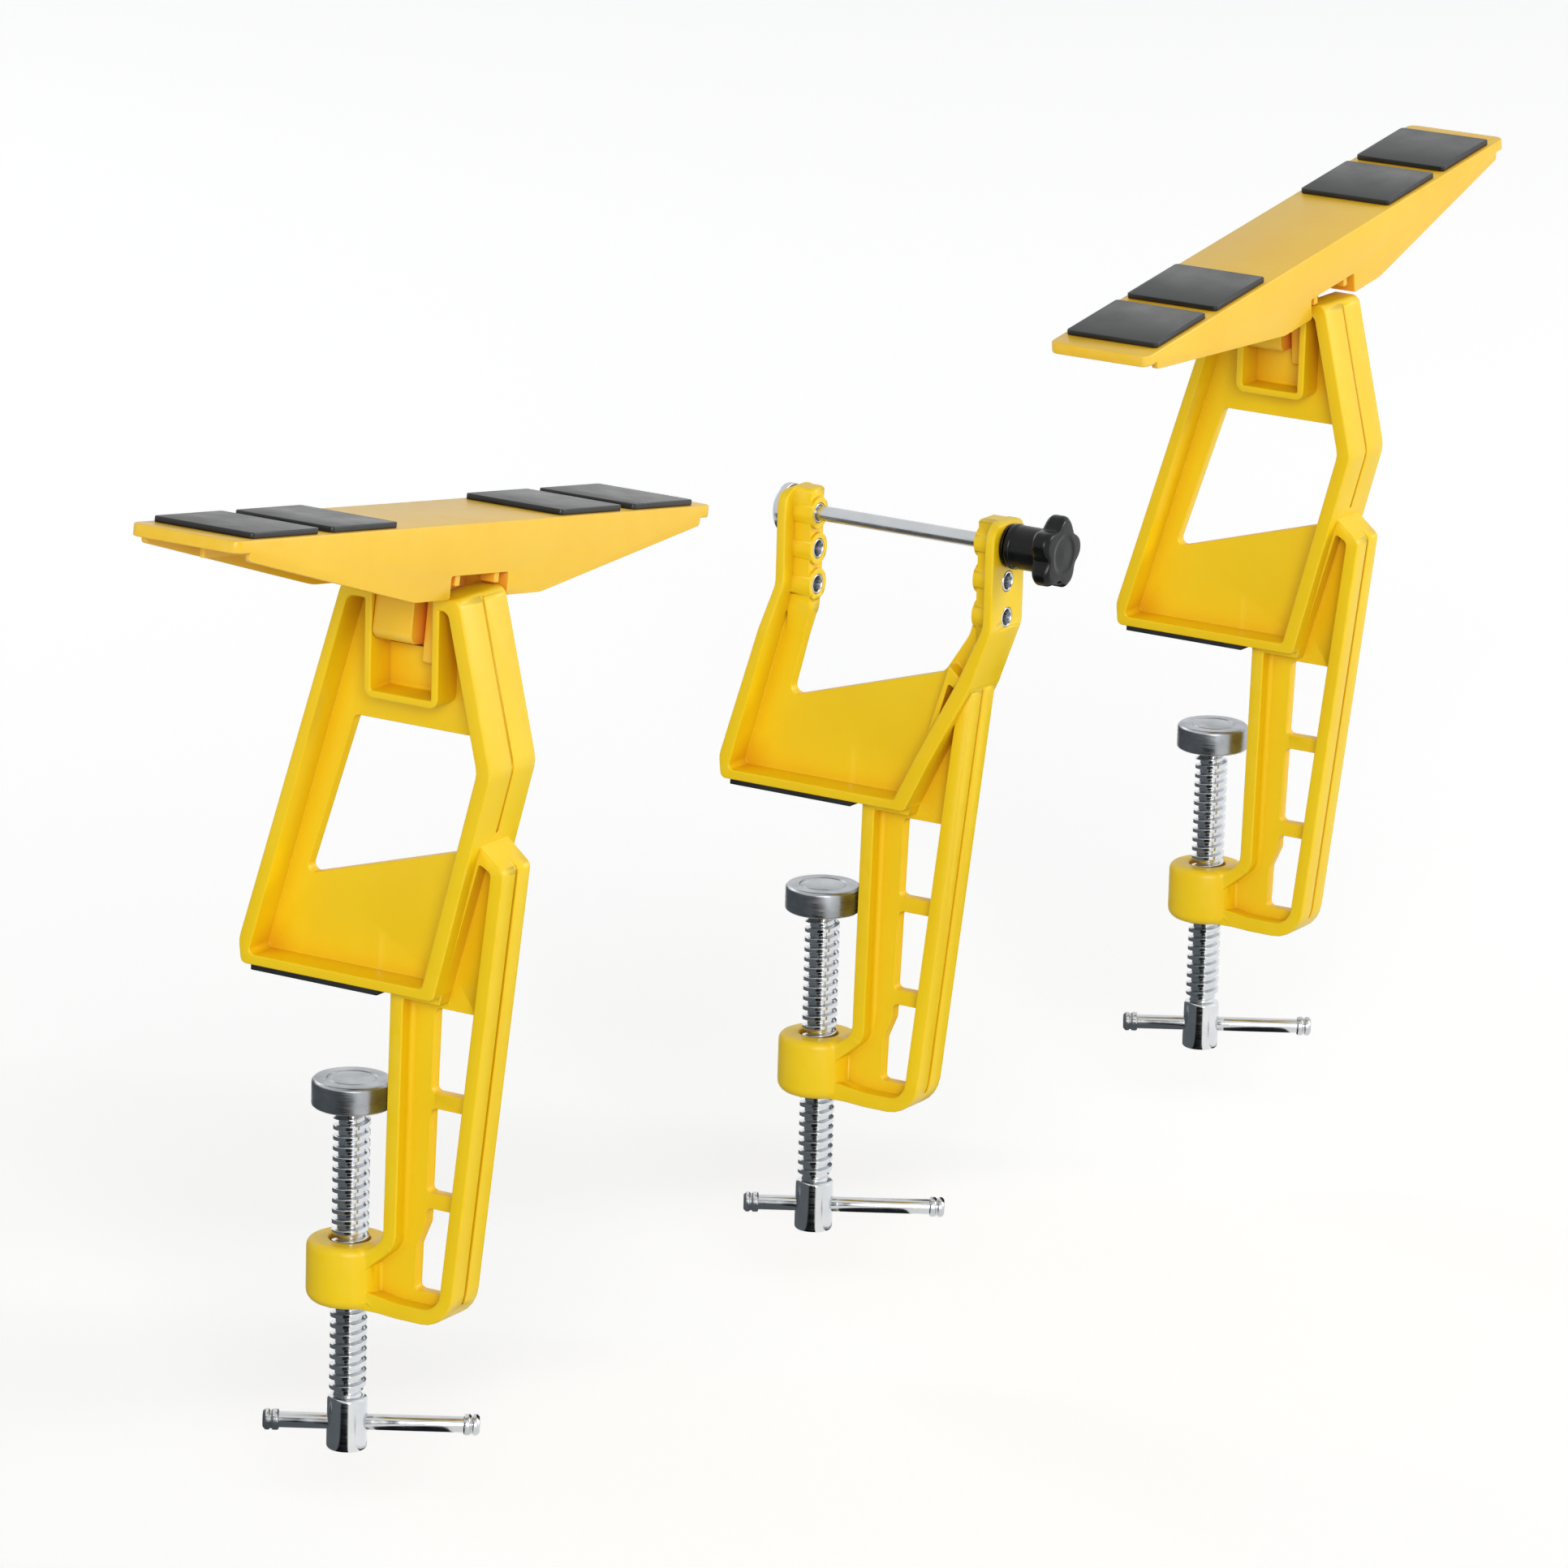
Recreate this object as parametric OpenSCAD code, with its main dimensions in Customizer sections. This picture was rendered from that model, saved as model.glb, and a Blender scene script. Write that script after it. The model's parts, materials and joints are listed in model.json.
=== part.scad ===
// Three-piece ski tuning vise: two end supports with rocking platforms and a centre clamp.
// X runs along the edge of the bench, +Y points in over the bench, +Z is up and the bench top is Z = 0.
// The outlines are drawn as [w, z], where w runs outwards from the inner end of the foot.

/* [Set] */
// Spacing from the left support to the centre clamp
left_gap = 327; // [280:1:400]
// Spacing from the centre clamp to the right support
right_gap = 314; // [280:1:400]
// Thickness of the bench top that the vises grip
bench_t = 38; // [20:1:44]

/* [Moulded frame] */
// Width of the foot, legs and head, along the bench
body_w = 30; // [26:1:36]
// Width of the clamp arm, along the bench
arm_w = 18; // [14:1:22]
// Thickness of the web in the middle of the frame
web_t = 5; // [3:0.5:6]
// Length of the foot that lies on the bench
foot_len = 60; // [56:1:66]
// Radius of the inner corner between the foot and the clamp arm
corner_r = 2; // [1:0.5:3]
// Overhang of the foot block past the bench edge
toe = 22.3; // [20:0.5:25]
// Thickness of the foot flange
foot_t = 4; // [3:0.5:5]
// Thickness of the sloping leg
leg_t = 4; // [3:0.5:5]
// Thickness of the outer member of the frame
rib_t = 6; // [4:0.5:7]
// Lean of the legs from upright, in degrees
lean = 16.9; // [15:0.1:18]
// Height of the knee at the bottom of the leg
knee_z = 12; // [9:1:15]
// Width of the parting groove on the outer faces
groove_w = 1.6; // [1:0.1:2.4]
// Depth of the parting groove
groove_t = 1; // [0.5:0.1:1.5]

/* [Clamp arm] */
// Distance from the bench top down to the heel of the arm
arm_drop = 123; // [118:1:132]
// Height of the shoulder above the bench
shoulder_z = 53; // [48:1:56]
// Distance of the shoulder past the bench edge
shoulder_out = 47.9; // [46:0.1:50]
// Distance of the heel past the bench edge
heel_out = 27.9; // [26:0.1:31]
// Thickness of the inner flange of the arm
inner_t = 5.5; // [4:0.5:7]
// Thickness of the outer flange of the arm
outer_t = 5.6; // [4:0.2:7]
// Width of the web ledge beside the arm windows
ledge = 10; // [7:0.5:12]
// Height of the two cross bars between the arm windows
bar_z = 6; // [4:0.5:9]
// Depth of the first arm window below the bench top
window_drop = 4; // [3:0.5:8]
// Height of the last arm window above the heel
window_lift = 10.4; // [9:0.2:14]
// Diameter of the boss that holds the clamp nut
lug_d = 32; // [29:1:34]
// Height of the boss
lug_h = 24; // [22:1:28]

/* [End support head] */
// Height of the head above the bench
head_z = 152; // [146:1:160]
// Height of the bulge in the outer member
bulge_z = 90; // [84:1:96]
// Distance of the bulge past the bench edge
bulge_out = 45.4; // [43:0.1:47]
// Distance of the outer corner of the head past the bench edge
head_out = 30.5; // [28:0.5:33]
// Width of the pocket for the tongue
pocket_w = 26; // [24:0.5:28]
// Depth of the pocket
pocket_depth = 38.5; // [36:0.5:42]
// Distance of the middle of the pocket past the bench edge
pocket_out = 6; // [5:0.5:7]
// Thickness of the pocket walls
pocket_t = 3; // [2.5:0.5:4]
// Height of the solid band between the window and the pocket
band_z = 11; // [8:1:14]

/* [Platform] */
// Tilt of a platform at each stop, in degrees
tilt = 8.2; // [6:0.1:9]
// Depth of the pivot below the top of the head
pivot_drop = 15; // [13:0.5:17]
// Diameter of the two trunnions of the pivot
trunnion_d = 9; // [8:0.5:10]
// Length of the deck
deck_len = 308; // [290:1:340]
// Width of the deck
deck_w = 46; // [44:0.5:50]
// Thickness of the deck
deck_t = 4.6; // [3.5:0.1:6]
// Height of the deck surface above the pivot
deck_rise = 39.8; // [38:0.2:42]
// Height of the keel above the pivot
keel_rise = 12.8; // [12:0.2:14]
// Length of the flat part of the keel
keel_len = 82; // [70:1:100]
// Setback of the side walls from each end of the deck
wall_back = 8; // [5:0.5:12]
// Depth of the side walls at their ends
wall_end = 2.8; // [2:0.2:5]
// Thickness of the side walls
wall_t = 2.6; // [2:0.2:3]
// Thickness of the cross ribs under the deck
cross_t = 2; // [1.6:0.2:3]
// Width of the notch over the head
notch_w = 37; // [35.5:0.5:40]
// Height of the notch above the pivot
notch_rise = 21.2; // [20:0.1:23]
// Length of one friction pad
grip_len = 41; // [36:1:44]
// Width of one friction pad
grip_w = 42; // [38:1:43]
// Thickness of one friction pad
grip_t = 2.2; // [1.6:0.2:4]
// Gap between the two pads of a pair
grip_gap = 8; // [4:1:12]
// Gap between the two pairs of pads
grip_mid = 106; // [96:1:120]

/* [Clamp screw] */
// Outer diameter of the screw thread
screw_d = 14; // [12:0.5:15]
// Distance of the screw in from the bench edge
screw_in = 22; // [20:0.5:24]
// Length of the thread between pressure plate and head
thread_len = 111.5; // [106:0.5:120]
// Diameter of the screw head
head_d = 15; // [14:0.5:18]
// Length of the screw head
head_len = 20.5; // [18:0.5:24]
// Diameter of the pressure plate
plate_d = 30; // [26:1:36]
// Thickness of the pressure plate
plate_t = 10.5; // [8:0.5:13]
// Length of the collar under the pressure plate
neck_len = 1; // [0.5:0.5:3]
// Diameter of the tommy bar
bar_d = 6; // [5:0.5:7]
// Length of the tommy bar
bar_len = 80; // [70:1:100]
// Diameter of the caps on the tommy bar
cap_d = 8; // [7.5:0.5:10]
// Length of the caps on the tommy bar
cap_len = 6; // [4:0.5:8]
// Direction of the tommy bars, in degrees from X
bar_turn = -58.5; // [-90:0.5:90]

/* [Centre jaw] */
// Height of the jaw arms above the bench
jaw_z = 121.5; // [120:0.5:134]
// Distance of the inner jaw arm from the inner end of the foot
jaw_in = 18.8; // [17:0.2:21]
// Distance of the outer jaw arm past the bench edge
jaw_out = 57.2; // [54:0.1:60]
// Thickness of the plates of the jaw arms
jaw_t = 4; // [3:0.5:5]
// Width of the jaw arms, along the bench
jaw_w = 24; // [22:0.5:28]
// Distance that the bosses stand off the jaw plates
boss_len = 8.4; // [8:0.2:11]
// Diameter of the bosses
boss_d = 12.5; // [11:0.5:13.5]
// Distance that the bosses stand out of the core of their arm
boss_stand = 1.2; // [0.6:0.1:2]
// Width of the solid core of the jaw arms, along the bench
core_w = 10; // [8:0.5:12]
// Height of the lowest rod hole
hole_z = 82.8; // [81:0.2:86]
// Distance between the rod holes
hole_pitch = 14.3; // [14:0.1:15]
// Diameter of the clamp rod
rod_d = 6; // [5:0.5:7]
// Diameter of the steel bushes
bush_d = 8; // [7.5:0.5:9]
// Diameter of the disc head of the rod
disc_d = 20; // [18:1:24]
// Diameter of the five-lobed grip
star_d = 29.5; // [28:0.5:36]
// Thickness of the five-lobed grip
star_t = 8; // [7:0.5:11]
// Diameter of the knob hub
hub_d = 18; // [16:0.5:20]
// Length of the knob hub
hub_len = 15; // [13:0.5:18]
// Travel of the knob along the rod
knob_travel = 10; // [6:0.5:11]

/* [Hidden] */
$fn = 64;

// Clearances between pieces
run_fit = 0.06;
loose_fit = 0.1;
seat_gap = 0.2;

// Places along the bench, and how far each tommy bar has slid through its screw
left_x = -left_gap;
right_x = right_gap;
left_slide = 9;
centre_slide = 12;
right_slide = 7;

// The foot
strip_t = 2;
strip_len = foot_len - 2 * (corner_r + seat_gap);
edge_w = foot_len;
toe_w = edge_w + toe;
half_foot = foot_len / 2;

// The leg: w of its outer face at a height, and how far that face moves in for a thickness
function leg_w(z) = -2.7 + (z - knee_z) * tan(lean);
leg_step = leg_t / cos(lean);

// The outer member of an end support, from toe to bulge to head
bulge_w = edge_w + bulge_out;
head_w = edge_w + head_out;
rib_slope = (bulge_w - toe_w) / (bulge_z - strip_t);
top_slope = (head_w - bulge_w) / (head_z - bulge_z);
rib_step = rib_t * sqrt(1 + rib_slope * rib_slope);
function rib_w(z) = z < bulge_z ? toe_w + (z - strip_t) * rib_slope : bulge_w + (z - bulge_z) * top_slope;

// The clamp arm: w of its outer face at a height
shoulder_w = edge_w + shoulder_out;
heel_w = edge_w + heel_out;
arm_slope = (shoulder_w - heel_w) / (shoulder_z + arm_drop);
function arm_out(z) = shoulder_w + (z - shoulder_z) * arm_slope;
outer_step = outer_t * sqrt(1 + arm_slope * arm_slope);
screw_w = edge_w - screw_in;
lug_top = lug_h - arm_drop;
heel_t = 6;
arm_lean = 1.6;
lug_soft = 3;
lug_round = 4.5;
slot_h = (arm_drop - window_lift - window_drop - 2 * bar_z) / 3;
function slot_w(z) = edge_w + inner_t + ledge + z * 0.03;

// The pocket and the pivot
pocket_mid = edge_w + pocket_out;
pocket_lo = pocket_mid - pocket_w / 2;
pocket_hi = pocket_mid + pocket_w / 2;
pocket_floor = head_z - pocket_depth;
pivot_z = head_z - pivot_drop;
socket_t = 2;
finger_t = 4.8;
finger_gap = 2.8;
slit = 1.5;
web_gap = 1.3;
window_top = pocket_floor - pocket_t - band_z;

// The platform, measured from its pivot
keel_half = keel_len / 2;
deck_half = deck_len / 2;
wall_half = deck_half - wall_back;
under = deck_rise - deck_t;
keel_slope = (under - wall_end - keel_rise) / (wall_half - keel_half);
function keel_t(s) = keel_rise + max(0, abs(s) - keel_half) * keel_slope;
tongue_low = -(trunnion_d / 2 + 2);
finger_low = tongue_low - 6.5;
platform_mid = pocket_mid - 1.5;
head_half = body_w / 2;
stop_s = head_half * cos(tilt) - pivot_drop * sin(tilt);
stop_t = head_half * sin(tilt) + pivot_drop * cos(tilt);

// The clamp screw, from its pressure plate down
plate_top = -bench_t;
thread_top = plate_top - plate_t;
head_top = thread_top - thread_len;
head_low = head_top - head_len;
bar_hole_z = (head_top + head_low) / 2;
tip_d = 0.6 * screw_d;
tip_len = neck_len + 5;
nut_af = 22;
nut_h = 13;

// The centre jaw
jaw_edge = edge_w + jaw_out;
jaw_lo = jaw_in + jaw_t + boss_len;
jaw_hi = jaw_edge - jaw_t - boss_len;
core_z = 62;
elbow_in = knee_z + (jaw_in + 2.7) / tan(lean);
elbow_out = shoulder_z + 26;
rod_z = hole_z + 2 * hole_pitch;
washer_t = 1.2;
disc_t = 4;
insert_d = 9;
insert_len = 11;
hub_w = jaw_edge + washer_t + 2 * seat_gap;

// A corner of an outline as an arc of radius r, in steps of about 15 degrees
function unit(v) = v / norm(v);
function arc_corner(a, b, c, r) = r <= 0 ? [b] :
    let (u = unit(a - b), v = unit(c - b), half = acos(u * v) / 2,
         mid = b + unit(u + v) * r / sin(half),
         p = b + u * r / tan(half) - mid, q = b + v * r / tan(half) - mid,
         from = atan2(p.y, p.x),
         turn = ((atan2(q.y, q.x) - from + 540) % 360) - 180,
         steps = max(2, ceil(abs(turn) / 15)))
    [for (i = [0:steps]) mid + r * [cos(from + turn * i / steps), sin(from + turn * i / steps)]];

// An outline of [w, z, r] points with each corner rounded to its own r
function rounded(path) = let (n = len(path))
    [for (i = [0:n - 1])
        let (a = path[(i + n - 1) % n], b = path[i], c = path[(i + 1) % n])
        each arc_corner([a.x, a.y], [b.x, b.y], [c.x, c.y], b[2])];

// Stands a [w, z] outline up across the frame, centred on its middle plane
module across(width) {
    translate([0, half_foot, 0]) rotate([90, 0, -90]) linear_extrude(width, center = true) children();
}

// The same, for a plate that lies between two distances from the middle plane on both sides
module both_sides(near, far) {
    for (side = [-1, 1])
        translate([side * (near + far) / 2, 0, 0]) across(far - near) children();
}

// Turns a shape drawn along +Z so that it lies along w, from the given w and height
module along_w(w, z) {
    translate([0, half_foot - w, z]) rotate([90, 0, 0]) children();
}

// Cuts the parting groove along a stretch of the outer face, given as [w, z] points
module parting_groove(face) {
    far = 40;
    across(groove_w) polygon(concat([for (p = face) [p.x - groove_t, p.y]],
        [[face[len(face) - 1].x + far, face[len(face) - 1].y], [face[0].x + far, face[0].y]]));
}

module arm_outline() {
    polygon(rounded([[edge_w - 2 * corner_r, foot_t, 0], [edge_w - 2 * corner_r, strip_t, 0],
        [edge_w, strip_t, corner_r], [edge_w - arm_lean, lug_top, 9], [screw_w, lug_top, 0],
        [screw_w, -arm_drop + 0.5, 0], [edge_w - 4, -arm_drop + 0.5, 8], [edge_w + 5, -arm_drop, 8],
        [heel_w, -arm_drop, 14], [shoulder_w, shoulder_z, 3],
        [rib_w(shoulder_z + 9) - 1, shoulder_z + 9, 0], [toe_w - 3, foot_t, 0]]));
}

module arm_recess() {
    in_w = edge_w + inner_t;
    boss_w = screw_w + lug_d / 2 - 5;
    polygon(rounded([[in_w, strip_t - 3, 0], [in_w - arm_lean, lug_top + 3.1, 9], [boss_w, lug_top - 9.5, 0],
        [boss_w, -arm_drop + heel_t + 2, 0], [edge_w + 4, -arm_drop + heel_t, 4],
        [arm_out(-arm_drop + heel_t) - outer_step, -arm_drop + heel_t, 8],
        [arm_out(shoulder_z - 1) - outer_step, shoulder_z - 1, 2],
        [rib_w(shoulder_z + 2) + 1, shoulder_z + 2, 1],
        [toe_w - 1, strip_t - 3, 0]]));
}

// One of the three lightening windows of the arm, counted from the top; the last one widens at its foot
module arm_window(i) {
    top = -window_drop - i * (slot_h + bar_z);
    low = top - slot_h;
    flare = i == 2 ? 3.5 : 0;
    polygon(rounded([[slot_w(low) - flare, low, 2], [arm_out(low) - outer_step - 1, low, 2],
        [arm_out(top) - outer_step - 1, top, 2.5], [slot_w(top), top, 2.5],
        [slot_w(top - 6), top - 6, flare], [slot_w(top - 15) - flare, top - 15, flare]]));
}

// The C-shaped clamp arm with its nut boss; its parting groove can run on over the shoulder
module clamp_arm(over_shoulder = []) {
    difference() {
        union() {
            difference() {
                across(arm_w) arm_outline();
                both_sides(web_t / 2, arm_w / 2 + 1) arm_recess();
                for (i = [0:2]) across(arm_w) arm_window(i);
            }
            translate([0, half_foot - screw_w, -arm_drop]) boss_round();
        }
        translate([0, half_foot - screw_w, -arm_drop - 1]) cylinder(d = screw_d + 1.2, h = lug_h + 2);
        translate([0, half_foot - screw_w, -arm_drop - 1]) cylinder(d = nut_af / cos(30), h = nut_h + 1, $fn = 6);
        parting_groove(concat([[heel_w, -arm_drop + 8], [shoulder_w, shoulder_z]], over_shoulder));
    }
}

// The round boss for the nut, with softened rims
module boss_round() {
    rotate_extrude() polygon(rounded([[0, 0, 0], [lug_d / 2, 0, lug_round],
        [lug_d / 2, lug_h, lug_soft], [0, lug_h, 0]]));
}

module support_outline() {
    polygon(rounded([[leg_w(knee_z) + 0.6, strip_t, 2.5], [toe_w, strip_t, 3], [bulge_w, bulge_z, 12],
        [head_w, head_z, 4], [leg_w(head_z), head_z, 5], [leg_w(knee_z) - 0.4, knee_z - 1, 10]]));
}

// The hollow of an end support between its flanges, on each side of the web
module support_recess() {
    low = strip_t + foot_t;
    top = head_z - 5;
    difference() {
        polygon(rounded([[leg_w(low) + leg_step + 1.5, low, 2], [rib_w(low) - rib_step, low, 2],
            [rib_w(bulge_z) - rib_step, bulge_z, 9], [rib_w(top) - rib_step, top, 3],
            [leg_w(top) + leg_step, top, 4]]));
        polygon(rounded([[pocket_lo - pocket_t, pocket_floor - pocket_t, 4],
            [pocket_hi + pocket_t, pocket_floor - pocket_t, 4],
            [pocket_hi + pocket_t, head_z, 0], [pocket_lo - pocket_t, head_z, 0]]));
    }
}

module support_window() {
    low = 36.3;
    in_w = leg_w(low) + leg_step + 8.6;
    polygon(rounded([[in_w, low, 2.5],
        [rib_w(low + 21) - rib_step - 1, low + 21, 5], [rib_w(bulge_z) - rib_step - 1.5, bulge_z, 9],
        [rib_w(window_top) - rib_step - 1.5, window_top, 3],
        [leg_w(window_top) + leg_step + 10, window_top, 3]]));
}

// Frame of an end support: foot, legs, pocketed head and clamp arm in one moulding
module support_frame() {
    difference() {
        union() {
            difference() {
                across(body_w) support_outline();
                both_sides(web_t / 2, body_w / 2 + 1) support_recess();
                across(body_w) support_window();
            }
            clamp_arm([[shoulder_w - 6, shoulder_z + 6.5]]);
        }
        across(body_w + 2) translate([pocket_lo, pocket_floor]) square([pocket_w, pocket_depth + 1]);
        along_w(pocket_lo - socket_t, pivot_z)
            cylinder(d = trunnion_d + 2 * run_fit, h = pocket_w + 2 * socket_t);
        parting_groove([[rib_w(shoulder_z + 12), shoulder_z + 12], [bulge_w, bulge_z], [head_w, head_z + 1]]);
    }
    across(web_t) pocket_web();
}

// The web carried on inside the pocket, stepped to stay under the tongue and its finger
module pocket_web() {
    low = pocket_floor - pocket_t / 2;
    step_w = pocket_hi - finger_gap - finger_t - slit / 2;
    polygon([[pocket_lo - pocket_t / 2, low], [pocket_hi + pocket_t / 2, low],
        [pocket_hi + pocket_t / 2, pivot_z + finger_low - web_gap], [step_w, pivot_z + finger_low - web_gap],
        [step_w, pivot_z + tongue_low - web_gap], [pocket_lo - pocket_t / 2, pivot_z + tongue_low - web_gap]]);
}

module jaw_outline() {
    polygon(rounded([[leg_w(knee_z) + 0.6, strip_t, 2.5], [toe_w, strip_t, 3],
        [shoulder_w + 0.4, shoulder_z + 1.5, 8], [jaw_edge, elbow_out, 12],
        [jaw_edge, jaw_z, 2], [jaw_hi + boss_stand, jaw_z, 2], [jaw_hi + boss_stand, elbow_out + 9, 10],
        [jaw_hi - 2.6, elbow_out - 5, 12], [edge_w + 31.5, 57.5, 8], [leg_w(36.3) + 16, 36.3, 3],
        [jaw_lo - boss_stand, elbow_in - 10, 20], [jaw_lo - boss_stand, jaw_z, 2], [jaw_in, jaw_z, 3],
        [jaw_in, elbow_in, 12], [leg_w(knee_z) - 0.4, knee_z - 1, 10]]));
}

// The hollow of the centre frame, open towards the jaw
module jaw_recess() {
    low = strip_t + foot_t;
    over = jaw_z + 1;
    polygon(rounded([[leg_w(low) + leg_step + 1.5, low, 2], [toe_w - rib_t + 1, low, 2],
        [shoulder_w - rib_step, shoulder_z + 2, 6], [jaw_edge - jaw_t, elbow_out + 1, 10],
        [jaw_edge - jaw_t, over, 0], [jaw_in + jaw_t, over, 0], [jaw_in + jaw_t, elbow_in, 12]]));
}

// Front view of a jaw arm, which narrows between two heights and has a rounded top
module arm_front(lo, hi, narrow_lo, narrow_hi) {
    r = 8;
    along_w(lo, 0) linear_extrude(hi - lo)
        polygon(rounded([[-body_w / 2, 0, 0], [body_w / 2, 0, 0], [body_w / 2, narrow_lo, 10],
            [jaw_w / 2, narrow_hi, 10], [jaw_w / 2, jaw_z, r], [-jaw_w / 2, jaw_z, r],
            [-jaw_w / 2, narrow_hi, 10], [-body_w / 2, narrow_lo, 10]]));
}

// A boss on the inner face of a jaw plate for each rod hole, facing the other plate
module jaw_bosses() {
    for (i = [0:2]) {
        z = hole_z + i * hole_pitch;
        along_w(jaw_in + jaw_t - 1, z) cylinder(d = boss_d, h = boss_len + 1);
        along_w(jaw_hi, z) cylinder(d = boss_d, h = jaw_edge - jaw_t - jaw_hi + 1);
    }
}

// Solid core of a jaw arm, which grows out of the web and stops short of the boss ends
module jaw_cores() {
    intersection() {
        across(core_w) jaw_outline();
        for (span = [[jaw_in + 1, jaw_lo - boss_stand], [jaw_hi + boss_stand, jaw_edge - 1]])
            along_w(span[0], 0) linear_extrude(span[1] - span[0])
                polygon(rounded([[-web_t / 2, core_z, 0], [web_t / 2, core_z, 0], [core_w / 2, core_z + 22, 6],
                    [core_w / 2, jaw_z, 1.5], [-core_w / 2, jaw_z, 1.5], [-core_w / 2, core_z + 22, 6]]));
    }
}

// Frame of the centre clamp: foot, two upright jaw arms and clamp arm in one moulding
module jaw_frame() {
    difference() {
        union() {
            intersection() {
                difference() {
                    across(body_w) jaw_outline();
                    both_sides(web_t / 2, body_w / 2 + 1) jaw_recess();
                }
                union() {
                    arm_front(-5, edge_w, elbow_in - 18, elbow_in + 2);
                    arm_front(edge_w, jaw_edge + 1, 24, shoulder_z + 4);
                }
            }
            clamp_arm();
            jaw_cores();
            jaw_bosses();
        }
        for (i = [0:2])
            along_w(0, hole_z + i * hole_pitch) cylinder(d = bush_d + 2 * run_fit, h = jaw_edge + 1);
    }
}

// Rubber strip bonded under the foot
module foot_strip() {
    translate([0, 0, strip_t / 2]) cube([body_w - 1, strip_len, strip_t], center = true);
}

// Steel nut set into the underside of the boss, with its thread bore
module clamp_nut() {
    translate([0, half_foot - screw_w, -arm_drop]) difference() {
        cylinder(d = (nut_af - 2 * run_fit) / cos(30), h = nut_h - run_fit, $fn = 6);
        translate([0, 0, -1]) cylinder(d = screw_d + 2 * run_fit, h = nut_h + 2);
    }
}

// Swivelling plate that presses up under the bench, with the cup for the screw tip
module pressure_plate() {
    translate([0, half_foot - screw_w, thread_top - neck_len]) difference() {
        rotate_extrude() polygon([[0, 0], [plate_d * 0.34, 0], [plate_d * 0.34, neck_len],
            [plate_d / 2, neck_len], [plate_d / 2, neck_len + plate_t - 1],
            [plate_d / 2 - 1, neck_len + plate_t], [0, neck_len + plate_t]]);
        translate([0, 0, -1]) cylinder(d = tip_d + 2 * run_fit, h = tip_len + seat_gap + 1);
    }
}

// Trapezoidal clamp screw with its plain head, turned tip and cross hole
module clamp_screw() {
    neck_low = thread_top - neck_len;
    translate([0, half_foot - screw_w, 0]) difference() {
        union() {
            translate([0, 0, head_top]) cylinder(d = screw_d, h = neck_low - seat_gap - head_top);
            translate([0, 0, neck_low - seat_gap - 1]) cylinder(d = tip_d, h = tip_len + seat_gap + 1);
            translate([0, 0, head_low]) rotate_extrude() polygon([[0, 0], [head_d / 2 - 1, 0], [head_d / 2, 1],
                [head_d / 2, head_len - 0.5], [head_d / 2 - 0.5, head_len], [0, head_len]]);
        }
        translate([0, 0, bar_hole_z]) rotate([0, 90, bar_turn])
            cylinder(d = bar_d + 2 * loose_fit, h = head_d + 2, center = true);
    }
}

// Tommy bar lying in the cross hole, slid along it by the given distance
module tommy_bar(slide) {
    translate([0, half_foot - screw_w, bar_hole_z]) rotate([0, 90, bar_turn])
        translate([0, 0, slide]) cylinder(d = bar_d, h = bar_len - 2, center = true);
}

// The two turned caps pressed on the ends of the tommy bar
module bar_caps(slide) {
    cup = cap_len - 1;
    translate([0, half_foot - screw_w, bar_hole_z]) rotate([0, 90, bar_turn])
        translate([0, 0, slide]) for (end = [-1, 1]) scale([1, 1, end]) translate([0, 0, bar_len / 2 - cap_len])
            rotate_extrude() polygon([[bar_d / 2 + run_fit, 0], [cap_d / 2 - 0.6, 0], [cap_d / 2, 0.6],
                [cap_d / 2, cap_len - 1], [cap_d / 2 - 1, cap_len], [0, cap_len], [0, cup], [bar_d / 2 + run_fit, cup]]);
}

// Puts a platform piece, drawn about its pivot, at the tilt that it rests at
module on_pivot(angle) {
    translate([0, half_foot - platform_mid, pivot_z]) rotate([0, angle, 0]) children();
}

// Extrudes a side view of the platform, [s, t] from the pivot, across the width given
module side_view(width) {
    rotate([90, 0, 0]) linear_extrude(width, center = true) children();
}

// Side wall of a platform, with the notch that clears the head
module wall_side() {
    half = notch_w / 2;
    polygon(rounded([[-wall_half, under + 1, 0], [-wall_half, under - wall_end, 1.5],
        [-keel_half, keel_rise, 20], [-half, keel_rise, 1], [-half, notch_rise, 1],
        [half, notch_rise, 1], [half, keel_rise, 1], [keel_half, keel_rise, 20],
        [wall_half, under - wall_end, 1.5], [wall_half, under + 1, 0]]));
}

// A rib across the inside of the platform, from the height given up to the deck
module cross_rib(s, low) {
    translate([s, 0, (low + under + 1) / 2]) cube([cross_t, deck_w - 1, under + 1 - low], center = true);
}

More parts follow.
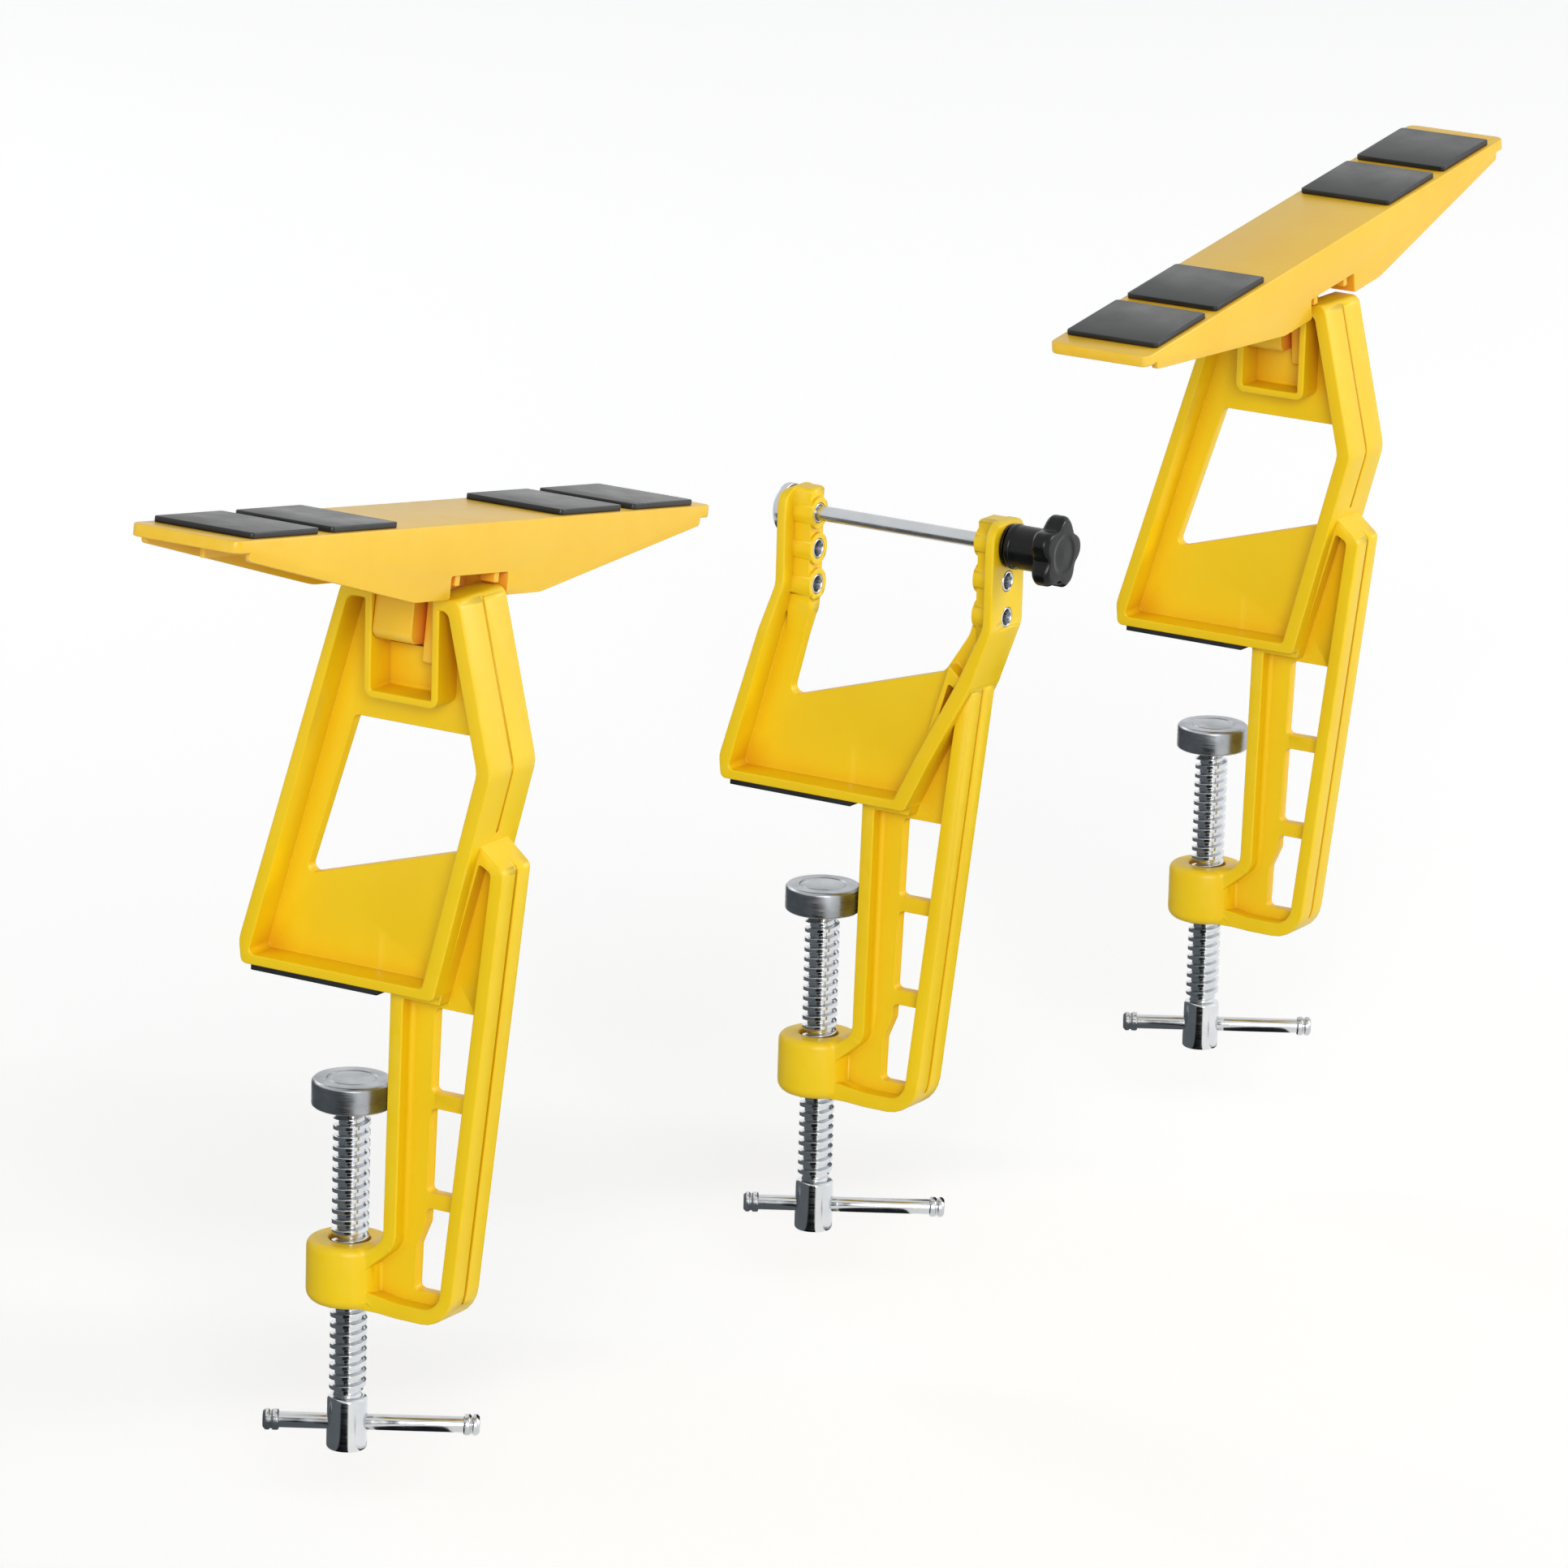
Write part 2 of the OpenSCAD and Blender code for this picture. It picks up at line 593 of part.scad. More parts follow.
// Boat-shaped platform: deck, side walls, ribs, stops, tongue and trunnions in one moulding, open below
module platform(angle) {
    r = 4;
    pitch = (wall_half - notch_w / 2) / 4;
    spine_half = wall_half - 4;
    block_lo = pocket_lo + seat_gap - pocket_mid;
    finger_hi = pocket_hi - finger_gap - pocket_mid;
    block_hi = finger_hi - finger_t - slit;
    pin_reach = socket_t - seat_gap;
    wall_mid = (deck_w - wall_t) / 2;
    on_pivot(angle) {
        translate([0, 0, under]) linear_extrude(deck_t)
            polygon(rounded([[-deck_half, -deck_w / 2, r], [deck_half, -deck_w / 2, r],
                [deck_half, deck_w / 2, r], [-deck_half, deck_w / 2, r]]));
        for (side = [-1, 1]) {
            translate([0, side * wall_mid, 0]) side_view(wall_t) wall_side();
            cross_rib(side * (notch_w + cross_t) / 2, keel_rise + seat_gap);
            for (i = [1:3]) cross_rib(side * (notch_w / 2 + i * pitch), keel_t(notch_w / 2 + i * pitch) + 3);
        }
        translate([0, 0, under - 2]) cube([2 * spine_half, cross_t, 6], center = true);
        stop_ribs();
        translate([0, platform_mid - pocket_mid, 0]) {
            tongue_plate(block_lo, block_hi, head_half - 1, tongue_low, 4);
            tongue_plate(finger_hi - finger_t, finger_hi, head_half - 7, finger_low, 1.5);
            rotate([90, 0, 0]) {
                translate([0, 0, block_lo - pin_reach]) cylinder(d = trunnion_d, h = pin_reach + 1);
                translate([0, 0, finger_hi - 1]) cylinder(d = trunnion_d, h = finger_gap + 1 + pin_reach);
            }
        }
    }
}

// One plate of the tongue, between two distances along w, with its bottom corners rounded
module tongue_plate(lo, hi, half, low, r) {
    translate([0, -(lo + hi) / 2, 0]) side_view(hi - lo)
        polygon(rounded([[-half, under + 1, 0], [-half, low, r], [half, low, r], [half, under + 1, 0]]));
}

// Ribs beside the tongue that meet the corners of the head at each end of the tilt
module stop_ribs() {
    low = stop_t + seat_gap;
    inner = platform_mid - deck_w / 2 + 1;
    outer = platform_mid + deck_w / 2 - 1;
    for (side = [-1, 1], span = [[inner, pocket_lo + 1], [pocket_hi + 1, outer]])
        translate([side * stop_s, platform_mid - (span[0] + span[1]) / 2, (low + under + 1) / 2])
            cube([3, span[1] - span[0], under + 1 - low], center = true);
}

// The four friction pads bonded to the deck
module ski_pads(angle) {
    r = 1.5;
    first = grip_mid / 2;
    on_pivot(angle) for (side = [-1, 1], i = [0:1])
        translate([side * (first + grip_len / 2 + i * (grip_len + grip_gap)), 0, deck_rise]) linear_extrude(grip_t)
            polygon(rounded([[-grip_len / 2, -grip_w / 2, r], [grip_len / 2, -grip_w / 2, r],
                [grip_len / 2, grip_w / 2, r], [-grip_len / 2, grip_w / 2, r]]));
}

// Rod through the top pair of holes, with the disc head outside the inner jaw arm
module clamp_rod() {
    start = jaw_in - seat_gap - disc_t;
    end_w = hub_w + hub_len + 3;
    along_w(start, rod_z) cylinder(d = rod_d, h = end_w - start);
    along_w(start, rod_z) rotate_extrude() polygon([[0, 0], [disc_d / 2 - 1.5, 0], [disc_d / 2, 1.2],
        [disc_d / 2, disc_t], [0, disc_t]]);
}

// Six steel bushes, one in each rod hole of each jaw arm
module rod_bushes() {
    for (i = [0:2], span = [[jaw_in, jaw_lo], [jaw_hi, jaw_edge]])
        along_w(span[0], hole_z + i * hole_pitch) difference() {
            cylinder(d = bush_d, h = span[1] - span[0]);
            translate([0, 0, -1]) cylinder(d = rod_d + 2 * run_fit, h = span[1] - span[0] + 2);
        }
}

module rod_washer() {
    along_w(jaw_edge + seat_gap, rod_z) difference() {
        cylinder(d = hub_d - 1, h = washer_t);
        translate([0, 0, -1]) cylinder(d = rod_d + 2 * run_fit, h = washer_t + 2);
    }
}

// Five-lobed grip with its hub, bored for the threaded insert and the rod end
module star_knob() {
    lobes = 5;
    lobe_r = star_d * 0.19;
    depth = hub_len + 3 + knob_travel * 0.3;
    along_w(hub_w, rod_z) difference() {
        union() {
            cylinder(d = hub_d, h = hub_len + 1);
            translate([0, 0, hub_len]) {
                cylinder(d = 0.74 * star_d, h = star_t);
                for (i = [0:lobes - 1]) rotate(i * 360 / lobes + 6)
                    translate([star_d / 2 - lobe_r, 0, 0]) cylinder(r = lobe_r, h = star_t);
            }
        }
        translate([0, 0, -1]) cylinder(d = insert_d + 2 * run_fit, h = insert_len + 1 + run_fit);
        translate([0, 0, -1]) cylinder(d = rod_d + 0.8, h = depth + 1);
    }
}

// Threaded brass insert moulded into the knob
module knob_insert() {
    along_w(hub_w, rod_z) difference() {
        cylinder(d = insert_d, h = insert_len);
        translate([0, 0, -1]) cylinder(d = rod_d + 2 * run_fit, h = insert_len + 2);
    }
}

module left_frame() { color("#FDD420") translate([left_x, 0, 0]) support_frame(); }
module centre_frame() { color("#FDD420") jaw_frame(); }
module right_frame() { color("#FDD420") translate([right_x, 0, 0]) support_frame(); }
module left_foot_strip() { color("#1C1C1E") translate([left_x, 0, 0]) foot_strip(); }
module centre_foot_strip() { color("#1C1C1E") foot_strip(); }
module right_foot_strip() { color("#1C1C1E") translate([right_x, 0, 0]) foot_strip(); }
module left_clamp_nut() { color("#8C9094") translate([left_x, 0, 0]) clamp_nut(); }
module centre_clamp_nut() { color("#8C9094") clamp_nut(); }
module right_clamp_nut() { color("#8C9094") translate([right_x, 0, 0]) clamp_nut(); }
module left_pressure_plate() { color("#8A8E92") translate([left_x, 0, 0]) pressure_plate(); }
module centre_pressure_plate() { color("#8A8E92") pressure_plate(); }
module right_pressure_plate() { color("#8A8E92") translate([right_x, 0, 0]) pressure_plate(); }
module left_clamp_screw() { color("#B9BDC1") translate([left_x, 0, 0]) clamp_screw(); }
module centre_clamp_screw() { color("#B9BDC1") clamp_screw(); }
module right_clamp_screw() { color("#B9BDC1") translate([right_x, 0, 0]) clamp_screw(); }
module left_tommy_bar() { color("#A7ABAF") translate([left_x, 0, 0]) tommy_bar(left_slide); }
module centre_tommy_bar() { color("#A7ABAF") tommy_bar(centre_slide); }
module right_tommy_bar() { color("#A7ABAF") translate([right_x, 0, 0]) tommy_bar(right_slide); }
module left_bar_caps() { color("#C9CCD0") translate([left_x, 0, 0]) bar_caps(left_slide); }
module centre_bar_caps() { color("#C9CCD0") bar_caps(centre_slide); }
module right_bar_caps() { color("#C9CCD0") translate([right_x, 0, 0]) bar_caps(right_slide); }
module left_platform() { color("#FBCB3A") translate([left_x, 0, 0]) platform(tilt); }
module right_platform() { color("#FBCB3A") translate([right_x, 0, 0]) platform(-tilt); }
module left_ski_pads() { color("#3A3C3F") translate([left_x, 0, 0]) ski_pads(tilt); }
module right_ski_pads() { color("#3A3C3F") translate([right_x, 0, 0]) ski_pads(-tilt); }

left_frame();
centre_frame();
right_frame();
left_foot_strip();
centre_foot_strip();
right_foot_strip();
left_clamp_nut();
centre_clamp_nut();
right_clamp_nut();
left_pressure_plate();
centre_pressure_plate();
right_pressure_plate();
left_clamp_screw();
centre_clamp_screw();
right_clamp_screw();
left_tommy_bar();
centre_tommy_bar();
right_tommy_bar();
left_bar_caps();
centre_bar_caps();
right_bar_caps();
left_platform();
right_platform();
left_ski_pads();
right_ski_pads();
clamp_rod();
rod_bushes();
rod_washer();
star_knob();
knob_insert();
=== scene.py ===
"""Looks of a three-piece ski tuning vise: two rocking end supports and a centre clamp.

X runs along the row of units, +Y points from the star knob to the disc head of its rod, and Z is up, in metres.
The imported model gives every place. Moulded pieces are softened copies of its meshes, and turned pieces are
surfaces worked out on a grid.
"""
from __future__ import annotations

import json
import logging
import math
from dataclasses import dataclass
from enum import Enum

import bmesh
import bpy
import numpy as np
from mathutils import Matrix, Vector
from mathutils.bvhtree import BVHTree
from mathutils.kdtree import KDTree

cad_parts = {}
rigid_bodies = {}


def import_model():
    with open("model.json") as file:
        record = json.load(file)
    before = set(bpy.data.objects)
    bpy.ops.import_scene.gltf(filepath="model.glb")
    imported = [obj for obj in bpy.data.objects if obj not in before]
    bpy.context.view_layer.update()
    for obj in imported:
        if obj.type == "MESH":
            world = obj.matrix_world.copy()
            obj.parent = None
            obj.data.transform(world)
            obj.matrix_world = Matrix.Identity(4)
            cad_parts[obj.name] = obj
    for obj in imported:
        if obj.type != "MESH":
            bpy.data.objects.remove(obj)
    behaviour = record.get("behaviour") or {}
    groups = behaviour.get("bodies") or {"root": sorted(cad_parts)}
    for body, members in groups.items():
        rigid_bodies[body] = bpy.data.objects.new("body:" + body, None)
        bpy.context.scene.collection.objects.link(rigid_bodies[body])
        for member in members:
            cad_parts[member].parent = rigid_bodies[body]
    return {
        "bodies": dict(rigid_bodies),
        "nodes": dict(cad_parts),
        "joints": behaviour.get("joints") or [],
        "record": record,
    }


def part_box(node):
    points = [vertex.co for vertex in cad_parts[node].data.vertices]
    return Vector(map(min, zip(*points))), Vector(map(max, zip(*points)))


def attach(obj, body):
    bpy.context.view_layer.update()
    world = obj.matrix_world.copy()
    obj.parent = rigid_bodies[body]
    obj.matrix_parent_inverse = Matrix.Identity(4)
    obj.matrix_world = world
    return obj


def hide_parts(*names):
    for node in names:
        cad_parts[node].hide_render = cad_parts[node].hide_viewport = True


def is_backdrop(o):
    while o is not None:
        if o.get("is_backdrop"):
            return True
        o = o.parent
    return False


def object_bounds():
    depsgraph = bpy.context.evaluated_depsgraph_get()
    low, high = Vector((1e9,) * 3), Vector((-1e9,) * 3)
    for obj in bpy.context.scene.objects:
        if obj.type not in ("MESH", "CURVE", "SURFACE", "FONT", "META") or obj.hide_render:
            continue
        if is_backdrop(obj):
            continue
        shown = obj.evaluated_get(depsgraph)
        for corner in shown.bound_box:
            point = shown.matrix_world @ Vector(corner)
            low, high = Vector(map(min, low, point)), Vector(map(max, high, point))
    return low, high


LOG = logging.getLogger("ski_vise")
MM = 0.001
# Distances outwards, towards the knob, are counted from this Y, in millimetres.
OUT_ZERO = 30.0
# The floor of the stage stands this far under the lowest point of the model, in metres.
FLOOR_GAP = 0.0005
# Turned shapes begin and end this far from their axis, in millimetres, where a fan of faces closes them.
POLE = 0.01
# Sockets of a Mix node that is set to colours: share, lower colour, upper colour, and the result.
SHARE, UNDER, OVER, MIXED = 0, 6, 7, 2


class Unit(Enum):
    """The three units of the set, by the prefix of their nodes."""

    LEFT = "left"
    CENTRE = "centre"
    RIGHT = "right"


# ---------------------------------------------------------------- finishes


def to_linear(hex_colour: str) -> tuple[float, float, float, float]:
    """Turns an sRGB hex colour into linear light.

    Args:
        hex_colour: six hex digits after a hash sign.

    Returns:
        Red, green, blue and an alpha of 1.
    """
    parts = [int(hex_colour[i : i + 2], 16) / 255 for i in (1, 3, 5)]
    linear = [p / 12.92 if p <= 0.04045 else ((p + 0.055) / 1.055) ** 2.4 for p in parts]
    return (*linear, 1.0)


def features(size_mm: float) -> float:
    """The scale of a pattern on Object coordinates whose features are that many millimetres across."""
    return 1 / (size_mm * MM)


class NodeTree:
    """The emptied node tree of a new material or world, with one method that adds a node."""

    def __init__(self, owner: bpy.types.Material | bpy.types.World) -> None:
        """Switches the owner's nodes on and empties them.

        Args:
            owner: the new material or world.
        """
        self.owner = owner
        owner.use_nodes = True
        owner.node_tree.nodes.clear()

    def add(self, kind: str, values: dict[str | int, object] | None = None,
            links: dict[str | int, object] | None = None,
            stops: tuple[tuple[float, str], ...] = (), **settings: object) -> bpy.types.Node:
        """Adds a node with its properties, socket values and links.

        Args:
            kind: the node's type name without the leading ShaderNode.
            values: input socket name or index to value.
            links: input socket name or index to an output socket, or to a node that stands for its first output.
            stops: the place and hex colour of both ends of a colour ramp.
            settings: node properties.

        Returns:
            The new node.
        """
        tree = self.owner.node_tree
        node = tree.nodes.new("ShaderNode" + kind)
        for key, value in settings.items():
            setattr(node, key, value)
        for key, value in (values or {}).items():
            node.inputs[key].default_value = value
        for key, source in (links or {}).items():
            socket = source.outputs[0] if isinstance(source, bpy.types.Node) else source
            tree.links.new(socket, node.inputs[key])
        for i, (position, colour) in enumerate(stops):
            node.color_ramp.elements[i].position = position
            node.color_ramp.elements[i].color = to_linear(colour)
        return node

    def finish(self, shader: bpy.types.Node, kind: str = "OutputMaterial") -> bpy.types.Material | bpy.types.World:
        """Links the shader to a new output node and returns the material or world."""
        self.add(kind, links={"Surface": shader})
        return self.owner


@dataclass(frozen=True)
class MouldedNylon:
    """Glass-filled nylon, injection moulded: satin, with a fine eroded grain and faint flow marks.

    The eye sees soft broad highlights. Paler convex edges are a painted highlight, for light caught on rounded edges;
    deep pockets get a painted tint for light bounced between the yellow walls and for their shade, and grooves and
    inner corners get painted dark lines of shade.
    The real grain is near 0.1 mm, which is too fine to show, so it is drawn nine times as coarse.
    """

    name: str
    shade: str
    deep: str
    # Paler colour of convex edges: a painted highlight.
    rim: str
    # Tint of deep hollows: painted light bounced between the walls, and painted shade.
    glow: str
    roughness: float = 0.38
    hollow_mm: float = 14.0
    grain_strength: float = 0.2
    corner_mm: float = 1.8
    # Colour of grooves and inner corners: painted shade.
    corner: str = "#9A6C0C"
    grain_mm: float = 0.9
    grain_deep_mm: float = 0.05
    wear_and_highlight_mm: float = 6.0
    # Share by which the edges turn to the painted highlight.
    edge_highlight_share: float = 0.5
    flow_mm: float = 38.0
    flow_stretch: tuple[float, ...] = (1.0, 1.0, 0.55)
    ior: float = 1.53

    def material(self) -> bpy.types.Material:
        """Builds the node material.

        The body colour turns to the rim colour, a painted highlight, on convex edges in patches; to the glow colour,
        painted bounced light and shade, where few rays get out within the hollow's reach; and to the corner colour,
        painted shade, where few get out within the corner's.

        Returns:
            The material.
        """
        tree = NodeTree(bpy.data.materials.new(self.name))
        place = tree.add("TexCoord").outputs["Object"]
        drawn = tree.add("Mapping", values={"Scale": self.flow_stretch}, links={"Vector": place})
        flow = tree.add("TexNoise", values={"Scale": features(self.flow_mm), "Detail": 3.0}, links={"Vector": drawn})
        body = tree.add("ValToRGB", links={"Fac": flow}, stops=((0.3, self.deep), (0.7, self.shade)))
        # These patches place the painted edge highlight, and vary the roughness as wear does.
        worn = tree.add("TexNoise", values={"Scale": features(self.wear_and_highlight_mm), "Detail": 4.0}, links={"Vector": place})
        # Pointiness is 0.5 where the surface is flat and grows on convex edges.
        edge = tree.add("MapRange", values={"From Min": 0.515, "From Max": 0.56},
                        links={"Value": tree.add("NewGeometry").outputs["Pointiness"]})
        patch = tree.add("MapRange", values={"From Min": 0.35, "From Max": 0.7}, links={"Value": worn})
        # Painted highlight: convex edges inside the patches turn towards the rim colour.
        edge_highlight_mask = tree.add("Math", operation="MULTIPLY", links={0: edge, 1: patch})
        rubbed = tree.add("Math", operation="MULTIPLY", values={1: self.edge_highlight_share}, links={0: edge_highlight_mask})
        colour = tree.add("Mix", data_type="RGBA", values={OVER: to_linear(self.rim)},
                          links={SHARE: rubbed, UNDER: body})
        # Painted light and shade: hollows turn to the glow colour and grooves and inner corners to the corner colour,
        # where few rays get out.
        for reach_mm, rays, tint, closed, open_air, most in (
                (self.hollow_mm, 6, self.glow, 0.15, 0.75, 1.0), (self.corner_mm, 4, self.corner, 0.3, 0.6, 0.8)):
            shut_in = tree.add("AmbientOcclusion", values={"Distance": reach_mm * MM}, samples=rays)
            share = tree.add("MapRange", links={"Value": shut_in.outputs["AO"]}, values={
                "From Min": closed, "From Max": open_air, "To Min": most, "To Max": 0.0})
            colour = tree.add("Mix", data_type="RGBA", values={OVER: to_linear(tint)},
                              links={SHARE: share, UNDER: colour.outputs[MIXED]})
        grain = tree.add("TexNoise", values={"Scale": features(self.grain_mm)}, links={"Vector": place})
        gloss = tree.add("MapRange", links={"Value": worn}, values={
            "From Min": 0.25, "From Max": 0.75, "To Min": self.roughness - 0.05, "To Max": self.roughness + 0.06})
        bump = tree.add("Bump", values={"Strength": self.grain_strength, "Distance": self.grain_deep_mm * MM},
                        links={"Height": grain})
        return tree.finish(tree.add(
            "BsdfPrincipled", values={"IOR": self.ior, "Specular IOR Level": 0.4},
            links={"Base Color": colour.outputs[MIXED], "Roughness": gloss, "Normal": bump}))


@dataclass(frozen=True)
class Rubber:
    """Black rubber sheet, pressed and cut: dull, finely pebbled, greyer where it has been rubbed."""

    name: str
    dark: str
    worn: str
    roughness: float = 0.62
    grain_mm: float = 1.3
    depth_mm: float = 0.12
    cloud_mm: float = 17.0
    ior: float = 1.5

    def material(self) -> bpy.types.Material:
        """Builds the node material.

        Returns:
            The material.
        """
        tree = NodeTree(bpy.data.materials.new(self.name))
        place = tree.add("TexCoord").outputs["Object"]
        cloud = tree.add("TexNoise", links={"Vector": place}, values={
            "Scale": features(self.cloud_mm), "Detail": 5.0, "Roughness": 0.6})
        colour = tree.add("ValToRGB", links={"Fac": cloud}, stops=((0.36, self.dark), (0.68, self.worn)))
        pebble = tree.add("TexVoronoi", values={"Scale": features(self.grain_mm)}, links={"Vector": place})
        bump = tree.add("Bump", values={"Strength": 0.5, "Distance": self.depth_mm * MM},
                        links={"Height": pebble.outputs["Distance"]})
        gloss = tree.add("MapRange", links={"Value": cloud}, values={
            "From Min": 0.3, "From Max": 0.7, "To Min": self.roughness - 0.06, "To Max": self.roughness + 0.08})
        return tree.finish(tree.add(
            "BsdfPrincipled", values={"IOR": self.ior, "Specular IOR Level": 0.4},
            links={"Base Color": colour, "Roughness": gloss, "Normal": bump}))


@dataclass(frozen=True)
class TurnedMetal:
    """Turned or drawn metal, mostly steel under bright zinc: sharp reflections broken by fine tool lines.

    The real lines are near 0.1 mm apart, which is too fine to show, so they are drawn coarser. Drawn bars
    have no lines round them, so their pattern is a wide ripple that is the same all ways.
    """

    name: str
    light: str
    dark: str
    roughness: float = 0.16
    line_mm: float = 0.5
    along: tuple[float, ...] = (0.05, 0.05, 1.0)
    line_deep_mm: float = 0.02
    cloud_mm: float = 9.0

    def material(self) -> bpy.types.Material:
        """Builds the node material.

        Returns:
            The material.
        """
        tree = NodeTree(bpy.data.materials.new(self.name))
        place = tree.add("TexCoord").outputs["Object"]
        cloud = tree.add("TexNoise", values={"Scale": features(self.cloud_mm), "Detail": 4.0},
                         links={"Vector": place})
        colour = tree.add("ValToRGB", links={"Fac": cloud}, stops=((0.3, self.dark), (0.7, self.light)))
        drawn = tree.add("Mapping", values={"Scale": self.along}, links={"Vector": place})
        lines = tree.add("TexNoise", values={"Scale": features(self.line_mm), "Detail": 1.0},
                         links={"Vector": drawn})
        gloss = tree.add("MapRange", links={"Value": lines}, values={
            "From Min": 0.3, "From Max": 0.7, "To Min": self.roughness - 0.05, "To Max": self.roughness + 0.08})
        bump = tree.add("Bump", values={"Strength": 0.05, "Distance": self.line_deep_mm * MM},
                        links={"Height": lines})
        return tree.finish(tree.add(
            "BsdfPrincipled", values={"Metallic": 1.0},
            links={"Base Color": colour, "Roughness": gloss, "Normal": bump}))


@dataclass(frozen=True)
class PhenolicGrip:
    """Black phenolic plastic, pressed in a polished mould: deep gloss with faint haze and dust."""

    name: str = "black pressed phenolic"
    dark: str = "#08090B"
    haze: str = "#0F1113"
    roughness: float = 0.24
    haze_mm: float = 7.0
    ripple_mm: float = 1.6
    ripple_deep_mm: float = 0.05
    ior: float = 1.5

    def material(self) -> bpy.types.Material:
        """Builds the node material.

        Returns:
            The material.
        """
        tree = NodeTree(bpy.data.materials.new(self.name))
        place = tree.add("TexCoord").outputs["Object"]
        cloud = tree.add("TexNoise", links={"Vector": place}, values={
            "Scale": features(self.haze_mm), "Detail": 5.0, "Roughness": 0.62})
        colour = tree.add("ValToRGB", links={"Fac": cloud}, stops=((0.4, self.dark), (0.75, self.haze)))
        gloss = tree.add("MapRange", links={"Value": cloud}, values={
            "From Min": 0.3, "From Max": 0.7, "To Min": self.roughness - 0.04, "To Max": self.roughness + 0.08})
        ripple = tree.add("TexNoise", values={"Scale": features(self.ripple_mm)}, links={"Vector": place})
        bump = tree.add("Bump", values={"Strength": 0.12, "Distance": self.ripple_deep_mm * MM},
                        links={"Height": ripple})
        return tree.finish(tree.add(
            "BsdfPrincipled", values={"IOR": self.ior, "Specular IOR Level": 0.24},
            links={"Base Color": colour, "Roughness": gloss, "Normal": bump}))


# ---------------------------------------------------------------- shapes


def mesh_object(name: str, points: np.ndarray, faces: np.ndarray, smooth: bool = True) -> bpy.types.Object:
    """Makes an object at the origin.

    Args:
        name: the piece's name.
        points: an n by 3 array, in metres.
        faces: corner numbers, one row for each face.
        smooth: shade the faces smooth.

    Returns:
        The new object, linked to the scene.
    """
    mesh = bpy.data.meshes.new(name)
    mesh.from_pydata(points.tolist(), [], faces.tolist())
    mesh.validate()
    mesh.polygons.foreach_set("use_smooth", np.full(len(mesh.polygons), smooth))
    piece = bpy.data.objects.new(name, mesh)
    bpy.context.scene.collection.objects.link(piece)
    return piece


def closed_grid(rings: np.ndarray) -> tuple[np.ndarray, np.ndarray]:
    """Joins rings of points into a closed skin with a fan at each end.

    Each quad joins two neighbours of one ring to the same two of the next, and is split along the
    diagonal that climbs with the angle. The end fans meet at the mean of the first and last ring.

    Args:
        rings: an array of m rings by n points by 3.

    Returns:
        The points and the faces, which point outwards for rings that climb anticlockwise.
    """
    m, n, _ = rings.shape
    points = np.concatenate([rings.reshape(-1, 3), rings[0].mean(0)[None], rings[-1].mean(0)[None]])
    row, col = np.meshgrid(np.arange(m - 1), np.arange(n), indexing="ij")
    a = (row * n + col).ravel()
    b = (row * n + (col + 1) % n).ravel()
    faces = np.concatenate([np.stack([a, b, b + n], 1), np.stack([a, b + n, a + n], 1)])
    ring = np.arange(n)
    after = (ring + 1) % n
    low = np.stack([after, ring, np.full(n, m * n)], 1)
    top = np.stack([ring + (m - 1) * n, after + (m - 1) * n, np.full(n, m * n + 1)], 1)
    return points, np.concatenate([faces, low, top])


def closed_loop(rings: np.ndarray) -> tuple[np.ndarray, np.ndarray]:
    """Joins rings of points into a closed skin whose last ring meets the first, as round a bore.

    Args:
        rings: an array of m rings by n points by 3.

    Returns:
        The points and the quads.
    """
    m, n, _ = rings.shape
    row, col = np.meshgrid(np.arange(m), np.arange(n), indexing="ij")
    up, on = (row + 1) % m, (col + 1) % n
    quads = np.stack([row * n + col, row * n + on, up * n + on, up * n + col], -1)
    return rings.reshape(-1, 3), quads.reshape(-1, 4)


def joined(skins: list[tuple[np.ndarray, np.ndarray]]) -> tuple[np.ndarray, np.ndarray]:
    """Puts several skins into one list of points and one of faces.

    Args:
        skins: points and faces of each skin.

    Returns:
        All the points, and the faces with their corner numbers moved on past the skins before them.
    """
    starts = np.cumsum([0] + [len(points) for points, _ in skins])
    points = np.concatenate([points for points, _ in skins])
    return points, np.concatenate([faces + start for (_, faces), start in zip(skins, starts)])


def turned(profile: np.ndarray, columns: int, lift: np.ndarray | None = None) -> np.ndarray:
    """Rings of a turned shape about +Z, in the profile's own units.

    The point at angle a on the ring of [r, z] is [r cos a, r sin a, z], with r changed by lift.

    Args:
        profile: m rows of [radius, height], climbing.
        columns: points in each ring.
        lift: m by columns, added to the radius.

    Returns:
        An m by columns by 3 array.
    """
    angle = np.arange(columns) * 2 * np.pi / columns
    radius = profile[:, :1] + (0 if lift is None else lift)
    radius = np.broadcast_to(radius, (len(profile), columns))
    height = np.broadcast_to(profile[:, 1:], radius.shape)
    return np.stack([radius * np.cos(angle), radius * np.sin(angle), height], -1)


def softened(path: list[list[float]], radius: float, steps: int = 4) -> np.ndarray:
    """Rounds the inner corners of a [r, z] path.

    Each corner is replaced by a quadratic curve from radius before it to radius after it, which takes at
    most 45 % of either side.

    Args:
        path: corners of the path.
        radius: the length cut from each side of a corner.
        steps: points on each curve.

    Returns:
        The rounded path as an array.
    """
    corners = [np.array(p, float) for p in path]
    out = [corners[0]]
    t = np.linspace(0, 1, steps)[:, None]
    for before, here, after in zip(corners, corners[1:], corners[2:]):
        a = here + (before - here) * min(0.45, radius / max(np.linalg.norm(before - here), 1e-9))
        b = here + (after - here) * min(0.45, radius / max(np.linalg.norm(after - here), 1e-9))
        out.extend((1 - t) ** 2 * a + 2 * t * (1 - t) * here + t**2 * b)
    out.append(corners[-1])
    return np.array(out)


